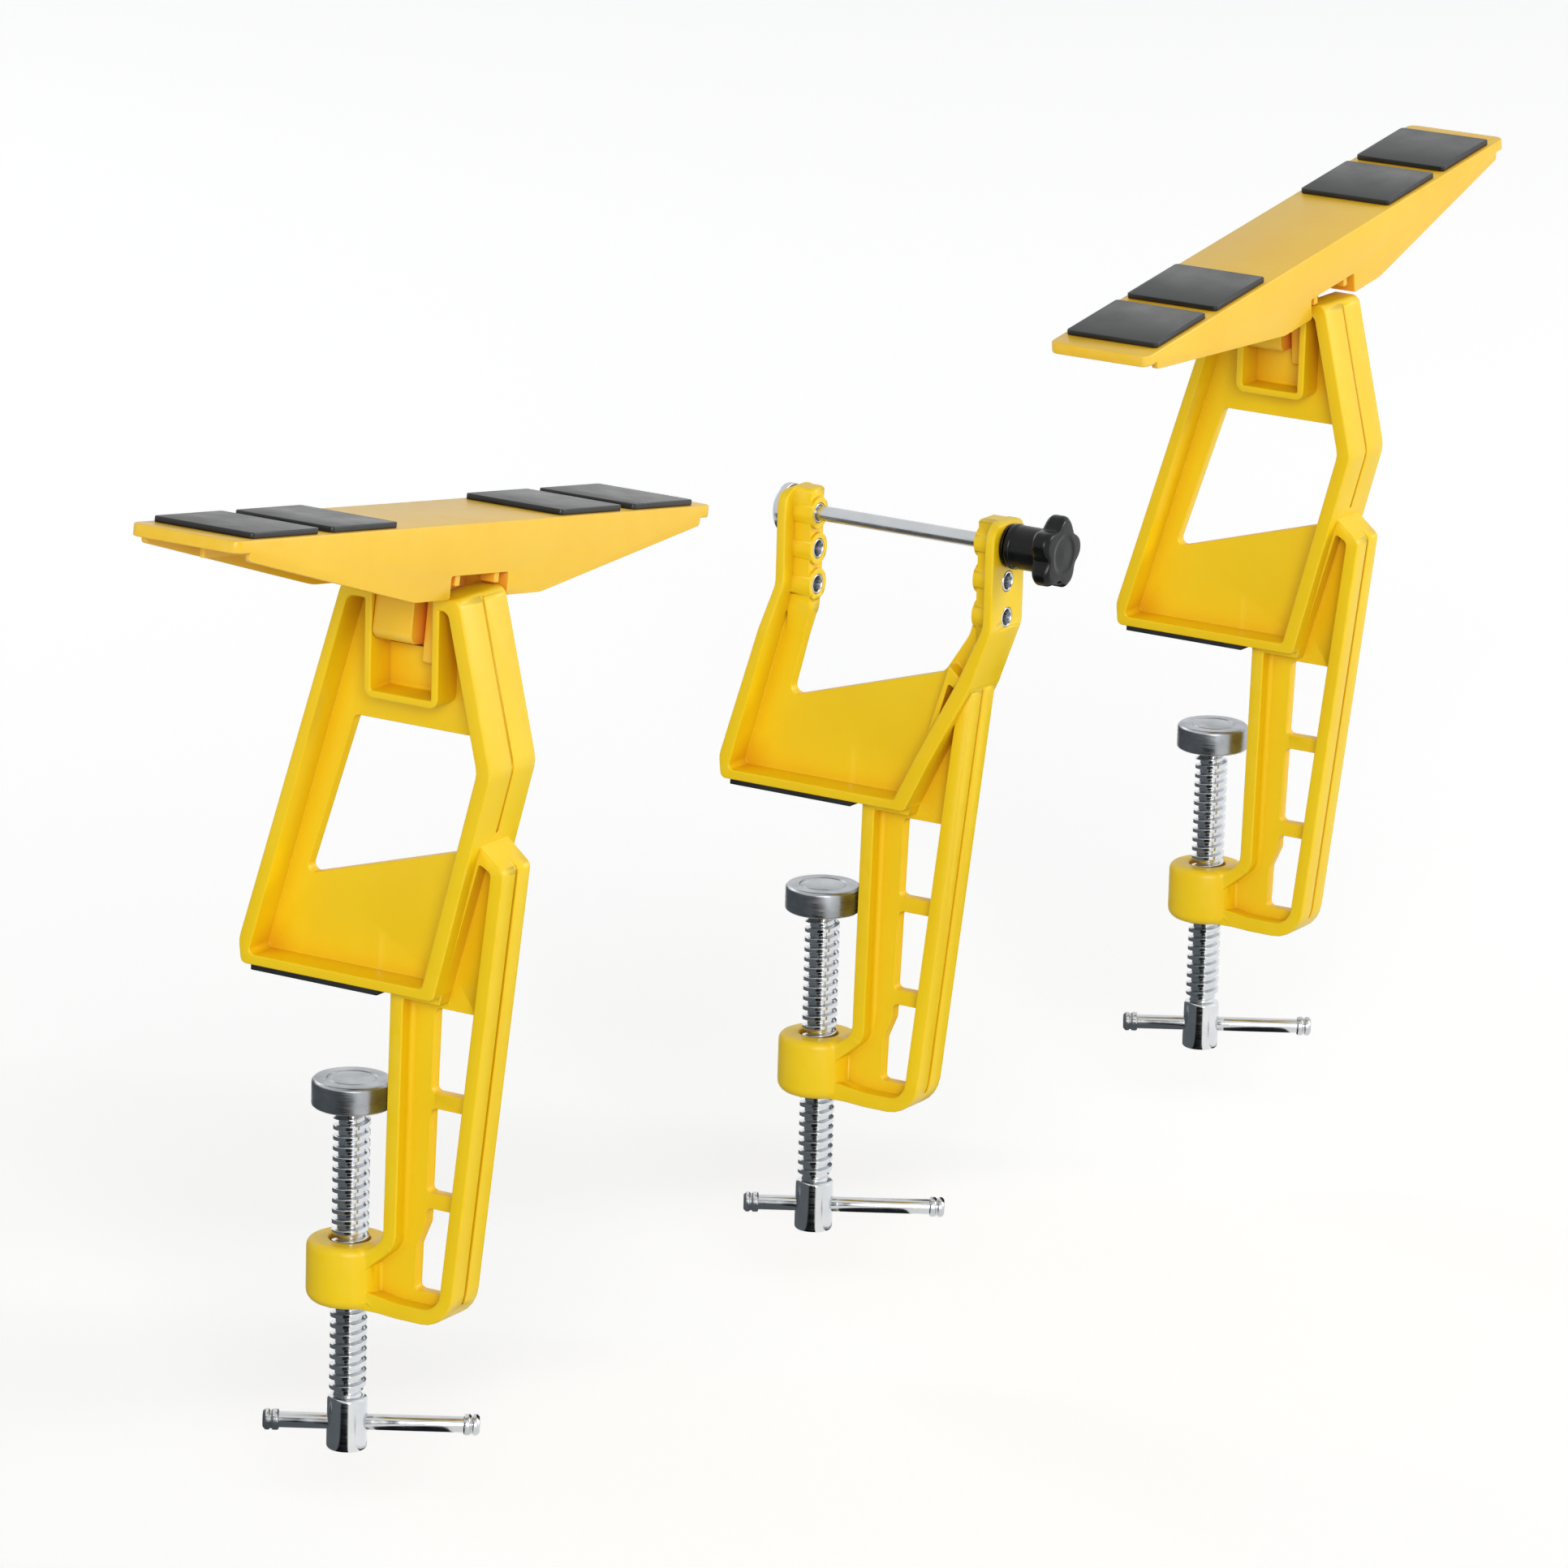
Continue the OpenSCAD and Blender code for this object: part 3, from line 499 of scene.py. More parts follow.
def frame_along(axis: Vector, start: Vector) -> Matrix:
    """A transform that turns +Z to an axis and moves the origin to a start."""
    turn = Vector((0, 0, 1)).rotation_difference(axis.normalized()).to_matrix().to_4x4()
    return Matrix.Translation(start) @ turn


def placed(rings: np.ndarray, place: Matrix) -> np.ndarray:
    """Scales rings from millimetres to metres and puts them where a transform says."""
    turn = np.array(place.to_3x3())
    return rings * MM @ turn.T + np.array(place.translation)


def marked(ends: list[tuple[Vector, Vector]], labels: np.ndarray,
           step: float) -> tuple[list[tuple[Vector, int]], KDTree]:
    """Sets points along edges.

    Args:
        ends: both ends of each edge.
        labels: a number for each edge.
        step: the widest distance between points, in metres.

    Returns:
        The points with their edges' numbers, and a tree that finds them.
    """
    marks = [(a.lerp(b, t), int(label)) for (a, b), label in zip(ends, labels)
             for t in np.linspace(0, 1, 2 + int((b - a).length / step))]
    tree = KDTree(len(marks))
    for i, (point, _) in enumerate(marks):
        tree.insert(point, i)
    tree.balance()
    return marks, tree


@dataclass
class EdgeRounding:
    """Rounds the sharp edges of a moulding, each as far as the features beside it leave room.

    Sharp edges that run on in nearly one line form a chain. A chain's rounding is at most a share of the
    length of each chain that meets it at a corner, and of the distance to the nearest chain that it does
    not meet. Outer edges get width_mm, and inner ones inner_mm where it is set.
    """

    width_mm: float
    segments: int = 3
    inner_mm: float = 0.0
    sharp_deg: float = 28.0
    bend_deg: float = 35.0
    share: float = 0.42
    mark_mm: float = 0.8
    least_dot: float = -0.3
    least_area: float = 1e-12
    tries: int = 14
    reach_mm: float = 2.0
    short_mm: float = 3.0
    thinnest_mm: float = 0.06
    short_cut: float = 0.6
    long_cut: float = 0.85

    @property
    def widest(self) -> float:
        """The widest rounding, in metres."""
        return max(self.width_mm, self.inner_mm) * MM

    def chains(self, sharp: list[bmesh.types.BMEdge]) -> np.ndarray:
        """Numbers the chain of each sharp edge.

        Args:
            sharp: the sharp edges.

        Returns:
            A chain number for each edge.
        """
        number = np.arange(len(sharp))
        place = {edge: i for i, edge in enumerate(sharp)}

        def root(i: int) -> int:
            """Follows the numbers to the first edge of a chain, and shortens the way.

            Args:
                i: an edge's place in the list.

            Returns:
                The place of its chain's first edge.
            """
            while number[i] != i:
                number[i] = number[number[i]]
                i = number[i]
            return int(i)

        limit = math.cos(math.radians(self.bend_deg))
        for vert in {v for edge in sharp for v in edge.verts}:
            ends = [e for e in vert.link_edges if e in place]
            ways = [(e.other_vert(vert).co - vert.co).normalized() for e in ends]
            for i, first in enumerate(ends):
                for j in range(i):
                    if -ways[i].dot(ways[j]) > limit:
                        number[root(place[first])] = root(place[ends[j]])
        return np.array([root(i) for i in range(len(sharp))])

    def meetings(self, sharp: list[bmesh.types.BMEdge], chain: np.ndarray) -> dict[int, set[int]]:
        """Finds which chains meet.

        Args:
            sharp: the sharp edges.
            chain: the chain number of each.

        Returns:
            Chain number to the numbers of the chains that meet it, its own among them.
        """
        at_vert: dict[bmesh.types.BMVert, set[int]] = {}
        for edge, own in zip(sharp, chain):
            for vert in edge.verts:
                at_vert.setdefault(vert, set()).add(int(own))
        meets: dict[int, set[int]] = {}
        for group in at_vert.values():
            for own in group:
                meets.setdefault(own, set()).update(group)
        return meets

    def widths(self, work: bmesh.types.BMesh) -> dict[bmesh.types.BMEdge, float]:
        """Works out the rounding of each sharp edge.

        Args:
            work: the merged mesh.

        Returns:
            Sharp edge to width in metres.
        """
        least = math.radians(self.sharp_deg)
        sharp = [e for e in work.edges if len(e.link_faces) == 2 and e.calc_face_angle(0) > least]
        chain = self.chains(sharp)
        length = np.bincount(chain, [e.calc_length() for e in sharp], len(sharp))
        most = np.full(len(sharp), self.widest)
        meets = self.meetings(sharp, chain)
        for own, group in meets.items():
            most[own] = min([most[own]] + [self.share * length[other] for other in group if other != own])
        ends = [(e.verts[0].co, e.verts[1].co) for e in sharp]
        marks, tree = marked(ends, chain, self.mark_mm * MM)
        for point, own in marks:
            for _, i, away in tree.find_range(point, self.widest / self.share):
                if marks[i][1] not in meets[own]:
                    most[own] = min(most[own], self.share * away)
        inner = (self.inner_mm or self.width_mm) * MM
        return {edge: min(most[own], self.width_mm * MM if edge.is_convex else inner)
                for edge, own in zip(sharp, chain)}

    def faults(self, piece: bpy.types.Object, tree: BVHTree) -> list[Vector]:
        """Finds faces that the rounding turned over, or pushed off the moulding's own surface.

        Args:
            piece: the moulding with its modifier.
            tree: the surface before rounding.

        Returns:
            The centres of those faces.
        """
        graph = bpy.context.evaluated_depsgraph_get()
        graph.update()
        rounded = piece.evaluated_get(graph)
        mesh = rounded.to_mesh()
        bad = []
        for face in mesh.polygons:
            if face.area < self.least_area:
                continue
            _, normal, _, away = tree.find_nearest(face.center)
            if normal.dot(face.normal) < self.least_dot or away > self.widest / 2:
                bad.append(face.center.copy())
        rounded.to_mesh_clear()
        return bad

    def settle(self, piece: bpy.types.Object) -> int:
        """Narrows the rounding round each fault until none is left or the tries run out.

        Args:
            piece: the moulding with its weights and modifier.

        Returns:
            The number of faults at the last try.
        """
        mesh = piece.data
        work = bmesh.new()
        work.from_mesh(mesh)
        tree = BVHTree.FromBMesh(work)
        work.free()
        weights = np.zeros(len(mesh.edges))
        layer = mesh.attributes["bevel_weight_edge"].data
        layer.foreach_get("value", weights)
        points = [v.co for v in mesh.vertices]
        ends = [(points[e.vertices[0]], points[e.vertices[1]]) for e in mesh.edges]
        rounded = np.nonzero(weights)[0]
        marks, near = marked([ends[i] for i in rounded], rounded, MM)
        left = 0
        for _ in range(self.tries):
            bad = self.faults(piece, tree)
            left = len(bad)
            if not bad:
                break
            hit = {marks[k][1] for point in bad for _, k, _ in near.find_range(point, self.reach_mm * MM)}
            for i in hit:
                short = (ends[i][1] - ends[i][0]).length < self.short_mm * MM
                weights[i] *= self.short_cut if short else self.long_cut
            weights[weights * self.widest < self.thinnest_mm * MM] = 0
            layer.foreach_set("value", weights)
            mesh.update()
        return left

    def apply(self, piece: bpy.types.Object) -> None:
        """Writes the widths as bevel weights, adds the Bevel modifier and narrows it where it fails.

        Args:
            piece: the merged moulding.
        """
        mesh = piece.data
        work = bmesh.new()
        work.from_mesh(mesh)
        floats = work.edges.layers.float
        layer = floats.get("bevel_weight_edge") or floats.new("bevel_weight_edge")
        for edge, width in self.widths(work).items():
            edge[layer] = width / self.widest
        work.to_mesh(mesh)
        work.free()
        mesh.polygons.foreach_set("use_smooth", np.ones(len(mesh.polygons), bool))
        bevel = piece.modifiers.new("soft edges", "BEVEL")
        bevel.width = self.widest
        bevel.segments = self.segments
        bevel.limit_method = "WEIGHT"
        bevel.use_clamp_overlap = False
        bevel.loop_slide = False
        bevel.miter_outer = "MITER_SHARP"
        bevel.harden_normals = True
        LOG.info("%s: %d faults left", piece.name, self.settle(piece))


# ---------------------------------------------------------------- sub-assemblies
# Sizes whose names do not say otherwise are in millimetres.


@dataclass
class Dresser:
    """Gives pieces their finish, body and node, and reports them."""

    frame: dict
    count: int = 0

    def dress(self, piece: bpy.types.Object, finish: bpy.types.Material, body: str, slot: str, *nodes: str) -> None:
        """Finishes one piece.

        Args:
            piece: the new object.
            finish: its material.
            body: the body that it rides on.
            slot: the record's material slot; not used.
            nodes: the nodes that it stands for.
        """
        piece.data.materials.clear()
        piece.data.materials.append(finish)
        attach(piece, body)
        if nodes:
            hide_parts(*nodes)
        self.count += 1
        LOG.info("%s: %d faces on %s", piece.name, len(piece.data.polygons), body)

    def cover(self, node: str, finish: bpy.types.Material) -> None:
        """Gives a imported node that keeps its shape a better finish.

        Args:
            node: the node's name.
            finish: its material.
        """
        target = self.frame["nodes"][node]
        target.data.materials.clear()
        target.data.materials.append(finish)
        LOG.info("%s: kept, with %s", node, finish.name)


@dataclass
class MouldedPiece:
    """A moulding whose sharp edges are rounded as a mould leaves them."""

    node: str
    body: str
    slot: str
    edge_mm: float
    segments: int = 3
    inner_mm: float = 0.0
    weld_mm: float = 0.006
    flat_deg: float = 0.05

    def merged_copy(self, node: bpy.types.Object) -> bpy.types.Object:
        """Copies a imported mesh, merges its loose triangles and splits its flat faces into well-shaped ones.

        Args:
            node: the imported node's object.

        Returns:
            The copy, linked to the scene.
        """
        mesh = node.data.copy()
        mesh.materials.clear()
        work = bmesh.new()
        work.from_mesh(mesh)
        bmesh.ops.remove_doubles(work, verts=work.verts, dist=self.weld_mm * MM)
        bmesh.ops.dissolve_limit(work, angle_limit=math.radians(self.flat_deg), verts=work.verts,
                                 edges=work.edges, use_dissolve_boundaries=False)
        bmesh.ops.triangulate(work, faces=work.faces, quad_method="BEAUTY", ngon_method="BEAUTY")
        work.to_mesh(mesh)
        work.free()
        piece = bpy.data.objects.new(f"{self.node}_moulding", mesh)
        bpy.context.scene.collection.objects.link(piece)
        return piece

    def build(self, dresser: Dresser, finish: bpy.types.Material) -> None:
        """Makes the softened copy and dresses it.

        Args:
            dresser: dresses the piece.
            finish: its material.
        """
        piece = self.merged_copy(dresser.frame["nodes"][self.node])
        EdgeRounding(self.edge_mm, self.segments, self.inner_mm).apply(piece)
        dresser.dress(piece, finish, self.body, self.slot, self.node)


@dataclass
class ClampScrew:
    """Trapezoidal clamp screw with turned head, run-outs and tip."""

    unit: Unit
    pitch: float = 4.0
    depth: float = 2.05
    crest_share: float = 0.34
    flank_share: float = 0.36
    columns: int = 32
    major: float = 6.93
    relief: float = 1.7
    head_r: float = 7.5
    head_len: float = 20.5
    head_edge: float = 0.9
    shoulder_edge: float = 0.8
    run_in: float = 1.2
    run_out: float = 0.6
    shank_drop: float = 1.2
    tip_r: float = 4.2
    tip_len: float = 7.2
    tip_edge: float = 1.0

    def profile_depth(self, phase: np.ndarray) -> np.ndarray:
        """The thread's depth below its crest.

        The crest fills one share of a pitch and the flanks the next, and the root has the rest. A smooth
        step on the flanks stands for the rolled corners.

        Args:
            phase: places along the thread, in turns.

        Returns:
            The depth at each place.
        """
        away = np.abs((phase % 1.0) - 0.5) * 2
        flank = np.clip((away - self.crest_share) / self.flank_share, 0, 1)
        return self.depth * flank * flank * (3 - 2 * flank)

    def build(self, dresser: Dresser, steel: bpy.types.Material) -> None:
        """Builds the screw on one grid from its low end to its tip.

        The thread's radius at height z and angle a is the crest less the depth at phase z / pitch - a / turn,
        eased to nothing over half a pitch at each end.

        Args:
            dresser: dresses the piece.
            steel: its material.
        """
        name = self.unit.value
        low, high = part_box(f"{name}_clamp_screw")
        centre = (low + high) / 2
        base, top = low.z / MM, high.z / MM
        head_top = base + self.head_len
        thread_top = top - self.tip_len
        neck_r = self.major - self.relief
        first, last = head_top + self.run_in, thread_top - self.run_out
        head = softened([[POLE, base], [self.head_r - self.head_edge, base], [self.head_r, base + self.head_edge],
                         [self.head_r, head_top - self.shoulder_edge], [self.head_r - self.shoulder_edge, head_top],
                         [neck_r, head_top + 0.2], [neck_r, first]], 0.5)
        rows = np.arange(first, last, self.pitch / self.columns)
        thread = np.stack([np.full_like(rows, self.major), rows], 1)
        shank_r = self.major - self.shank_drop
        tip = softened([[shank_r, thread_top - 0.4], [shank_r - 0.3, thread_top],
                        [self.tip_r, thread_top], [self.tip_r, top - self.tip_edge],
                        [self.tip_r - self.tip_edge, top], [POLE, top]], 0.3)
        profile = np.concatenate([head, thread, tip])
        height = profile[:, 1]
        phase = height[:, None] / self.pitch - np.arange(self.columns)[None] / self.columns
        inside = (np.clip((height - rows[0]) / self.pitch, 0, 1)
                  * np.clip((rows[-1] - height) / self.pitch, 0, 1))
        ease = np.minimum(inside * 2, 1)[:, None]
        lift = -self.profile_depth(phase) * ease - self.depth * (1 - ease)
        lift[: len(head)] = 0
        lift[len(head) + len(rows):] = 0
        rings = turned(profile, self.columns, lift)
        points, faces = closed_grid(placed(rings, Matrix.Translation((centre.x, centre.y, 0))))
        dresser.dress(mesh_object(f"{name}_screw_thread", points, faces), steel, f"{name}_screw", "screw_steel",
                      f"{name}_clamp_screw")


@dataclass
class TommyBar:
    """Tommy bar with its two grooved end caps."""

    unit: Unit
    turn_deg: float = -58.5
    columns: int = 32
    bar_r: float = 3.0
    bar_bevel: float = 0.3
    bar_edge: float = 0.4
    length: float = 80.0
    inset: float = 1.2
    cap_r: float = 4.0
    cap_len: float = 6.0
    cap_fit: float = 0.03
    rim: float = 0.5
    groove_deep: float = 0.55
    groove_from: float = 2.3
    groove_to: float = 3.7
    slope: float = 0.4
    face_edge: float = 1.0
    dimple_r: float = 1.2
    dimple_deep: float = 0.5
    dimple_slope: float = 0.4

    def build(self, dresser: Dresser, bar_steel: bpy.types.Material, cap_steel: bpy.types.Material) -> None:
        """Builds the bar and both caps as turned shapes along the cross hole.

        Args:
            dresser: dresses the pieces.
            bar_steel: the bar's material.
            cap_steel: the caps' material.
        """
        name = self.unit.value
        low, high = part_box(f"{name}_bar_caps")
        turn = math.radians(self.turn_deg)
        place = frame_along(Vector((math.cos(turn), math.sin(turn), 0)), (low + high) / 2)
        half = self.length / 2
        end = half - self.inset
        flat_r = self.bar_r - self.bar_bevel
        bar = turned(softened([[POLE, -end], [flat_r, -end], [self.bar_r, self.bar_edge - end],
                               [self.bar_r, end - self.bar_edge], [flat_r, end], [POLE, end]],
                              self.bar_bevel), self.columns)
        points, faces = closed_grid(placed(bar, place))
        dresser.dress(mesh_object(f"{name}_cross_bar", points, faces), bar_steel, f"{name}_bar", "bar_steel",
                      f"{name}_tommy_bar")
        # A cap from its inner end: rim, groove and dimpled face.
        inner = half - self.cap_len
        groove_r = self.cap_r - self.groove_deep
        path = softened([[self.bar_r + self.cap_fit, inner + 0.05], [self.cap_r - self.rim, inner],
                         [self.cap_r, inner + self.rim], [self.cap_r, inner + self.groove_from],
                         [groove_r, inner + self.groove_from + self.slope],
                         [groove_r, inner + self.groove_to - self.slope], [self.cap_r, inner + self.groove_to],
                         [self.cap_r, half - self.face_edge], [self.cap_r - self.face_edge, half],
                         [self.dimple_r, half], [self.dimple_r - self.dimple_slope, half - self.dimple_deep],
                         [POLE, half - self.dimple_deep]], 0.25)
        cap = turned(path, self.columns)
        mirrored = (cap * np.array([1, 1, -1]))[::-1]
        points, faces = joined([closed_grid(placed(rings, place)) for rings in (cap, mirrored)])
        dresser.dress(mesh_object(f"{name}_turned_caps", points, faces), cap_steel, f"{name}_bar", "cap_steel",
                      f"{name}_bar_caps")


@dataclass
class PressurePlate:
    """Swivelling pressure plate on the screw's tip, turned from bar."""

    unit: Unit
    columns: int = 64
    plate_r: float = 15.0
    plate_edge: float = 0.8
    face_edge: float = 1.0
    neck_r: float = 10.2
    neck_edge: float = 0.4
    neck_len: float = 1.0
    socket_r: float = 4.26
    socket_depth: float = 6.25
    socket_edge: float = 0.6
    groove_r: float = 9.0
    groove_deep: float = 0.4
    groove_half: float = 0.5
    floor_half: float = 0.3

    def build(self, dresser: Dresser, steel: bpy.types.Material) -> None:
        """Builds the plate as one turned shape with its blind socket for the screw's tip and a ringed face.

        Args:
            dresser: dresses the piece.
            steel: its material.
        """
        name = self.unit.value
        low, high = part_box(f"{name}_pressure_plate")
        middle = (low + high) / 2
        height = (high.z - low.z) / MM
        # The socket, the neck and the plate's edge, then the ring groove in the face.
        path = [[POLE, self.socket_depth], [self.socket_r - self.socket_edge, self.socket_depth],
                [self.socket_r, self.socket_depth - self.socket_edge], [self.socket_r, self.socket_edge],
                [self.socket_r + self.socket_edge, 0], [self.neck_r - self.neck_edge, 0],
                [self.neck_r, self.neck_edge], [self.neck_r, self.neck_len],
                [self.plate_r - self.plate_edge, self.neck_len], [self.plate_r, self.neck_len + self.plate_edge],
                [self.plate_r, height - self.face_edge], [self.plate_r - self.face_edge, height],
                [self.groove_r + self.groove_half, height],
                [self.groove_r + self.floor_half, height - self.groove_deep],
                [self.groove_r - self.floor_half, height - self.groove_deep],
                [self.groove_r - self.groove_half, height], [POLE, height]]
        rings = turned(softened(path, 0.3, 3), self.columns)
        points, faces = closed_grid(placed(rings, Matrix.Translation((middle.x, middle.y, low.z))))
        dresser.dress(mesh_object(f"{name}_swivel_plate", points, faces), steel, f"{name}_plate", "plate_steel",
                      f"{name}_pressure_plate")


@dataclass
class CentreClamp:
    """Rod, bushes, washer and star knob of the centre clamp."""

    holes: tuple[float, ...] = (82.8, 97.1, 111.4)
    rod_r: float = 3.0
    rod_columns: int = 36
    disc_t: float = 4.0
    disc_bevel: float = 1.6
    disc_round: float = 1.3
    disc_edge: float = 0.3
    ring_gap: float = 12.0
    threaded: float = 24.0
    run_out: float = 0.8
    crest_drop: float = 0.02
    end_r: float = 2.4
    point_r: float = 2.0
    thread_pitch: float = 1.0
    thread_depth: float = 0.5
    bush_r: float = 4.0
    bush_bore: float = 3.06
    bush_len: float = 12.4
    bush_edge: float = 0.25
    washer_bore: float = 3.1
    lobes: int = 5
    lobe_turn: float = 6.0
    knob_columns: int = 120
    star_r: float = 14.75
    star_t: float = 8.0
    valley: float = 0.26
    valley_power: float = 1.35
    hub_r: float = 8.6
    collar_r: float = 8.95
    dish_r: float = 7.0
    insert_r: float = 4.56
    insert_len: float = 11.06
    bore_r: float = 3.4
    bore_depth: float = 21.0

    def along(self, start: float, height: float) -> Matrix:
        """A transform for shapes drawn along +Z, which then run outwards from a start at a height."""
        return frame_along(Vector((0, -1, 0)), Vector((0, (OUT_ZERO - start) * MM, height * MM)))

    def extent(self, node: str) -> tuple[float, float, float]:
        """Where a node starts outwards, how long it is, and its radius, all in millimetres."""
        low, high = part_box(node)
        return OUT_ZERO - high.y / MM, (high.y - low.y) / MM, (high.z - low.z) / MM / 2

    def rod(self, dresser: Dresser, steel: bpy.types.Material) -> None:
        """Builds the turned rod with its disc head and a fine thread on the knob's end.

        The thread's radius falls from the crest by a triangle wave of height / pitch - angle / turn.

        Args:
            dresser: dresses the piece.
            steel: its material.
        """
        start, length, disc_r = self.extent("clamp_rod")
        head = softened([[POLE, 0], [disc_r - self.disc_bevel, 0], [disc_r, self.disc_round],
                         [disc_r, self.disc_t - self.disc_edge], [disc_r - self.disc_edge, self.disc_t],
                         [self.rod_r, self.disc_t], [self.rod_r, self.disc_t + 1.5]], 0.35)
        rows = np.arange(length - self.threaded, length - self.run_out, self.thread_pitch / 6)
        thread = np.stack([np.full_like(rows, self.rod_r - self.crest_drop), rows], 1)
        end = np.array([[self.end_r, length - 0.3], [self.point_r, length], [POLE, length]])
        spaced = self.disc_t + 2.0 + self.ring_gap * np.arange(int((rows[0] - 8) / self.ring_gap))
        plain = np.stack([np.full_like(spaced, self.rod_r), spaced], 1)
        profile = np.concatenate([head, plain, thread, end])
        phase = profile[:, 1:] / self.thread_pitch - np.arange(self.rod_columns)[None] / self.rod_columns
        ridge = np.abs((phase % 1.0) - 0.5) * 2
        on_thread = np.zeros(len(profile))
        first = len(head) + len(plain)
        on_thread[first: first + len(rows)] = np.minimum((rows - rows[0]) / self.thread_pitch, 1)
        rings = turned(profile, self.rod_columns, -self.thread_depth * ridge * on_thread[:, None])
        points, faces = closed_grid(placed(rings, self.along(start, self.holes[2])))
        dresser.dress(mesh_object("turned_rod", points, faces), steel, "vise_set", "bar_steel", "clamp_rod")

    def bushes(self, dresser: Dresser, steel: bpy.types.Material) -> None:
        """Builds six open sleeves with rounded rims, each a profile carried round its bore.

        Args:
            dresser: dresses the piece.
            steel: its material.
        """
        near, length, _ = self.extent("rod_bushes")
        bore, edge, end = self.bush_bore, self.bush_edge, self.bush_len
        path = softened([[bore, 0.6], [bore + edge, 0], [self.bush_r - edge, 0], [self.bush_r, 0.3],
                         [self.bush_r, end - 0.3], [self.bush_r - edge, end], [bore + edge, end],
                         [bore, end - 0.6]], 0.12, 3)
        rings = turned(path, 40)
        points, faces = joined([closed_loop(placed(rings, self.along(start, height)))
                                for height in self.holes for start in (near, near + length - end)])
        dresser.dress(mesh_object("rod_sleeves", points, faces), steel, "vise_set", "bush_steel", "rod_bushes")

    def washer(self, dresser: Dresser, steel: bpy.types.Material) -> None:
        """Builds the punched washer, a rounded section carried round its bore.

        Args:
            dresser: dresses the piece.
            steel: its material.
        """
        start, thick, outer = self.extent("rod_washer")
        bore, edge = self.washer_bore, 0.15
        path = softened([[bore, thick / 2], [bore, edge], [bore + 0.2, 0], [outer - 0.3, 0], [outer, 0.25],
                         [outer, thick - edge], [outer - 0.2, thick], [bore + 0.2, thick], [bore, thick - edge]],
                        0.1, 3)
        points, quads = closed_loop(placed(turned(path, 64), self.along(start, self.holes[2])))
        dresser.dress(mesh_object("punched_washer", points, quads), steel, "washer", "bush_steel", "rod_washer")

    def knob(self, dresser: Dresser, grip: bpy.types.Material) -> None:
        """Builds the star grip, a turned profile whose rim swells and dips with the angle.

        At height z and angle a the radius is the profile's, less valley times a smooth wave of a. The wave is
        the raised cosine of the lobes to a power, and its share grows with the radius past the hub.

        Args:
            dresser: dresses the piece.
            grip: its material.
        """
        start, length, _ = self.extent("star_knob")
        hub_len = length - self.star_t
        # The bore, the insert's hole, the collar and the hub, then the star's back, rim and domed face.
        path = [[POLE, self.bore_depth], [self.bore_r, self.bore_depth], [self.bore_r, self.insert_len],
                [self.insert_r, self.insert_len], [self.insert_r, 0.3], [self.insert_r + 0.3, 0],
                [self.collar_r - 1.05, 0], [self.collar_r, 0.7], [self.collar_r, 2.4], [self.hub_r, 2.9],
                [self.hub_r, hub_len - 0.6], [self.hub_r + 0.6, hub_len], [self.star_r - 1.3, hub_len],
                [self.star_r, hub_len + 1.4], [self.star_r, length - 2.0], [self.star_r - 1.8, length - 0.35],
                [8.0, length - 0.1], [6.4, length - 0.5], [POLE, length - 0.2]]
        dense = softened(path, 0.9, 6)
        finer = [np.linspace(a, b, 4, endpoint=False) for a, b in zip(dense, dense[1:])]
        profile = np.concatenate(finer + [dense[-1:]])
        angle = np.arange(self.knob_columns) * 2 * np.pi / self.knob_columns
        wave = 0.5 - 0.5 * np.cos(self.lobes * (angle - math.radians(self.lobe_turn)))
        share = np.clip((profile[:, 0] - self.dish_r) / (self.star_r - self.dish_r), 0, 1)
        share = share * (profile[:, 1] > hub_len - 0.7)
        lift = -(self.valley * profile[:, 0] * share)[:, None] * wave[None] ** self.valley_power
        rings = turned(profile, self.knob_columns, lift)
        points, faces = closed_grid(placed(rings, self.along(start, self.holes[2])))
        dresser.dress(mesh_object("star_grip", points, faces), grip, "knob", "knob_plastic", "star_knob")


# ---------------------------------------------------------------- stage


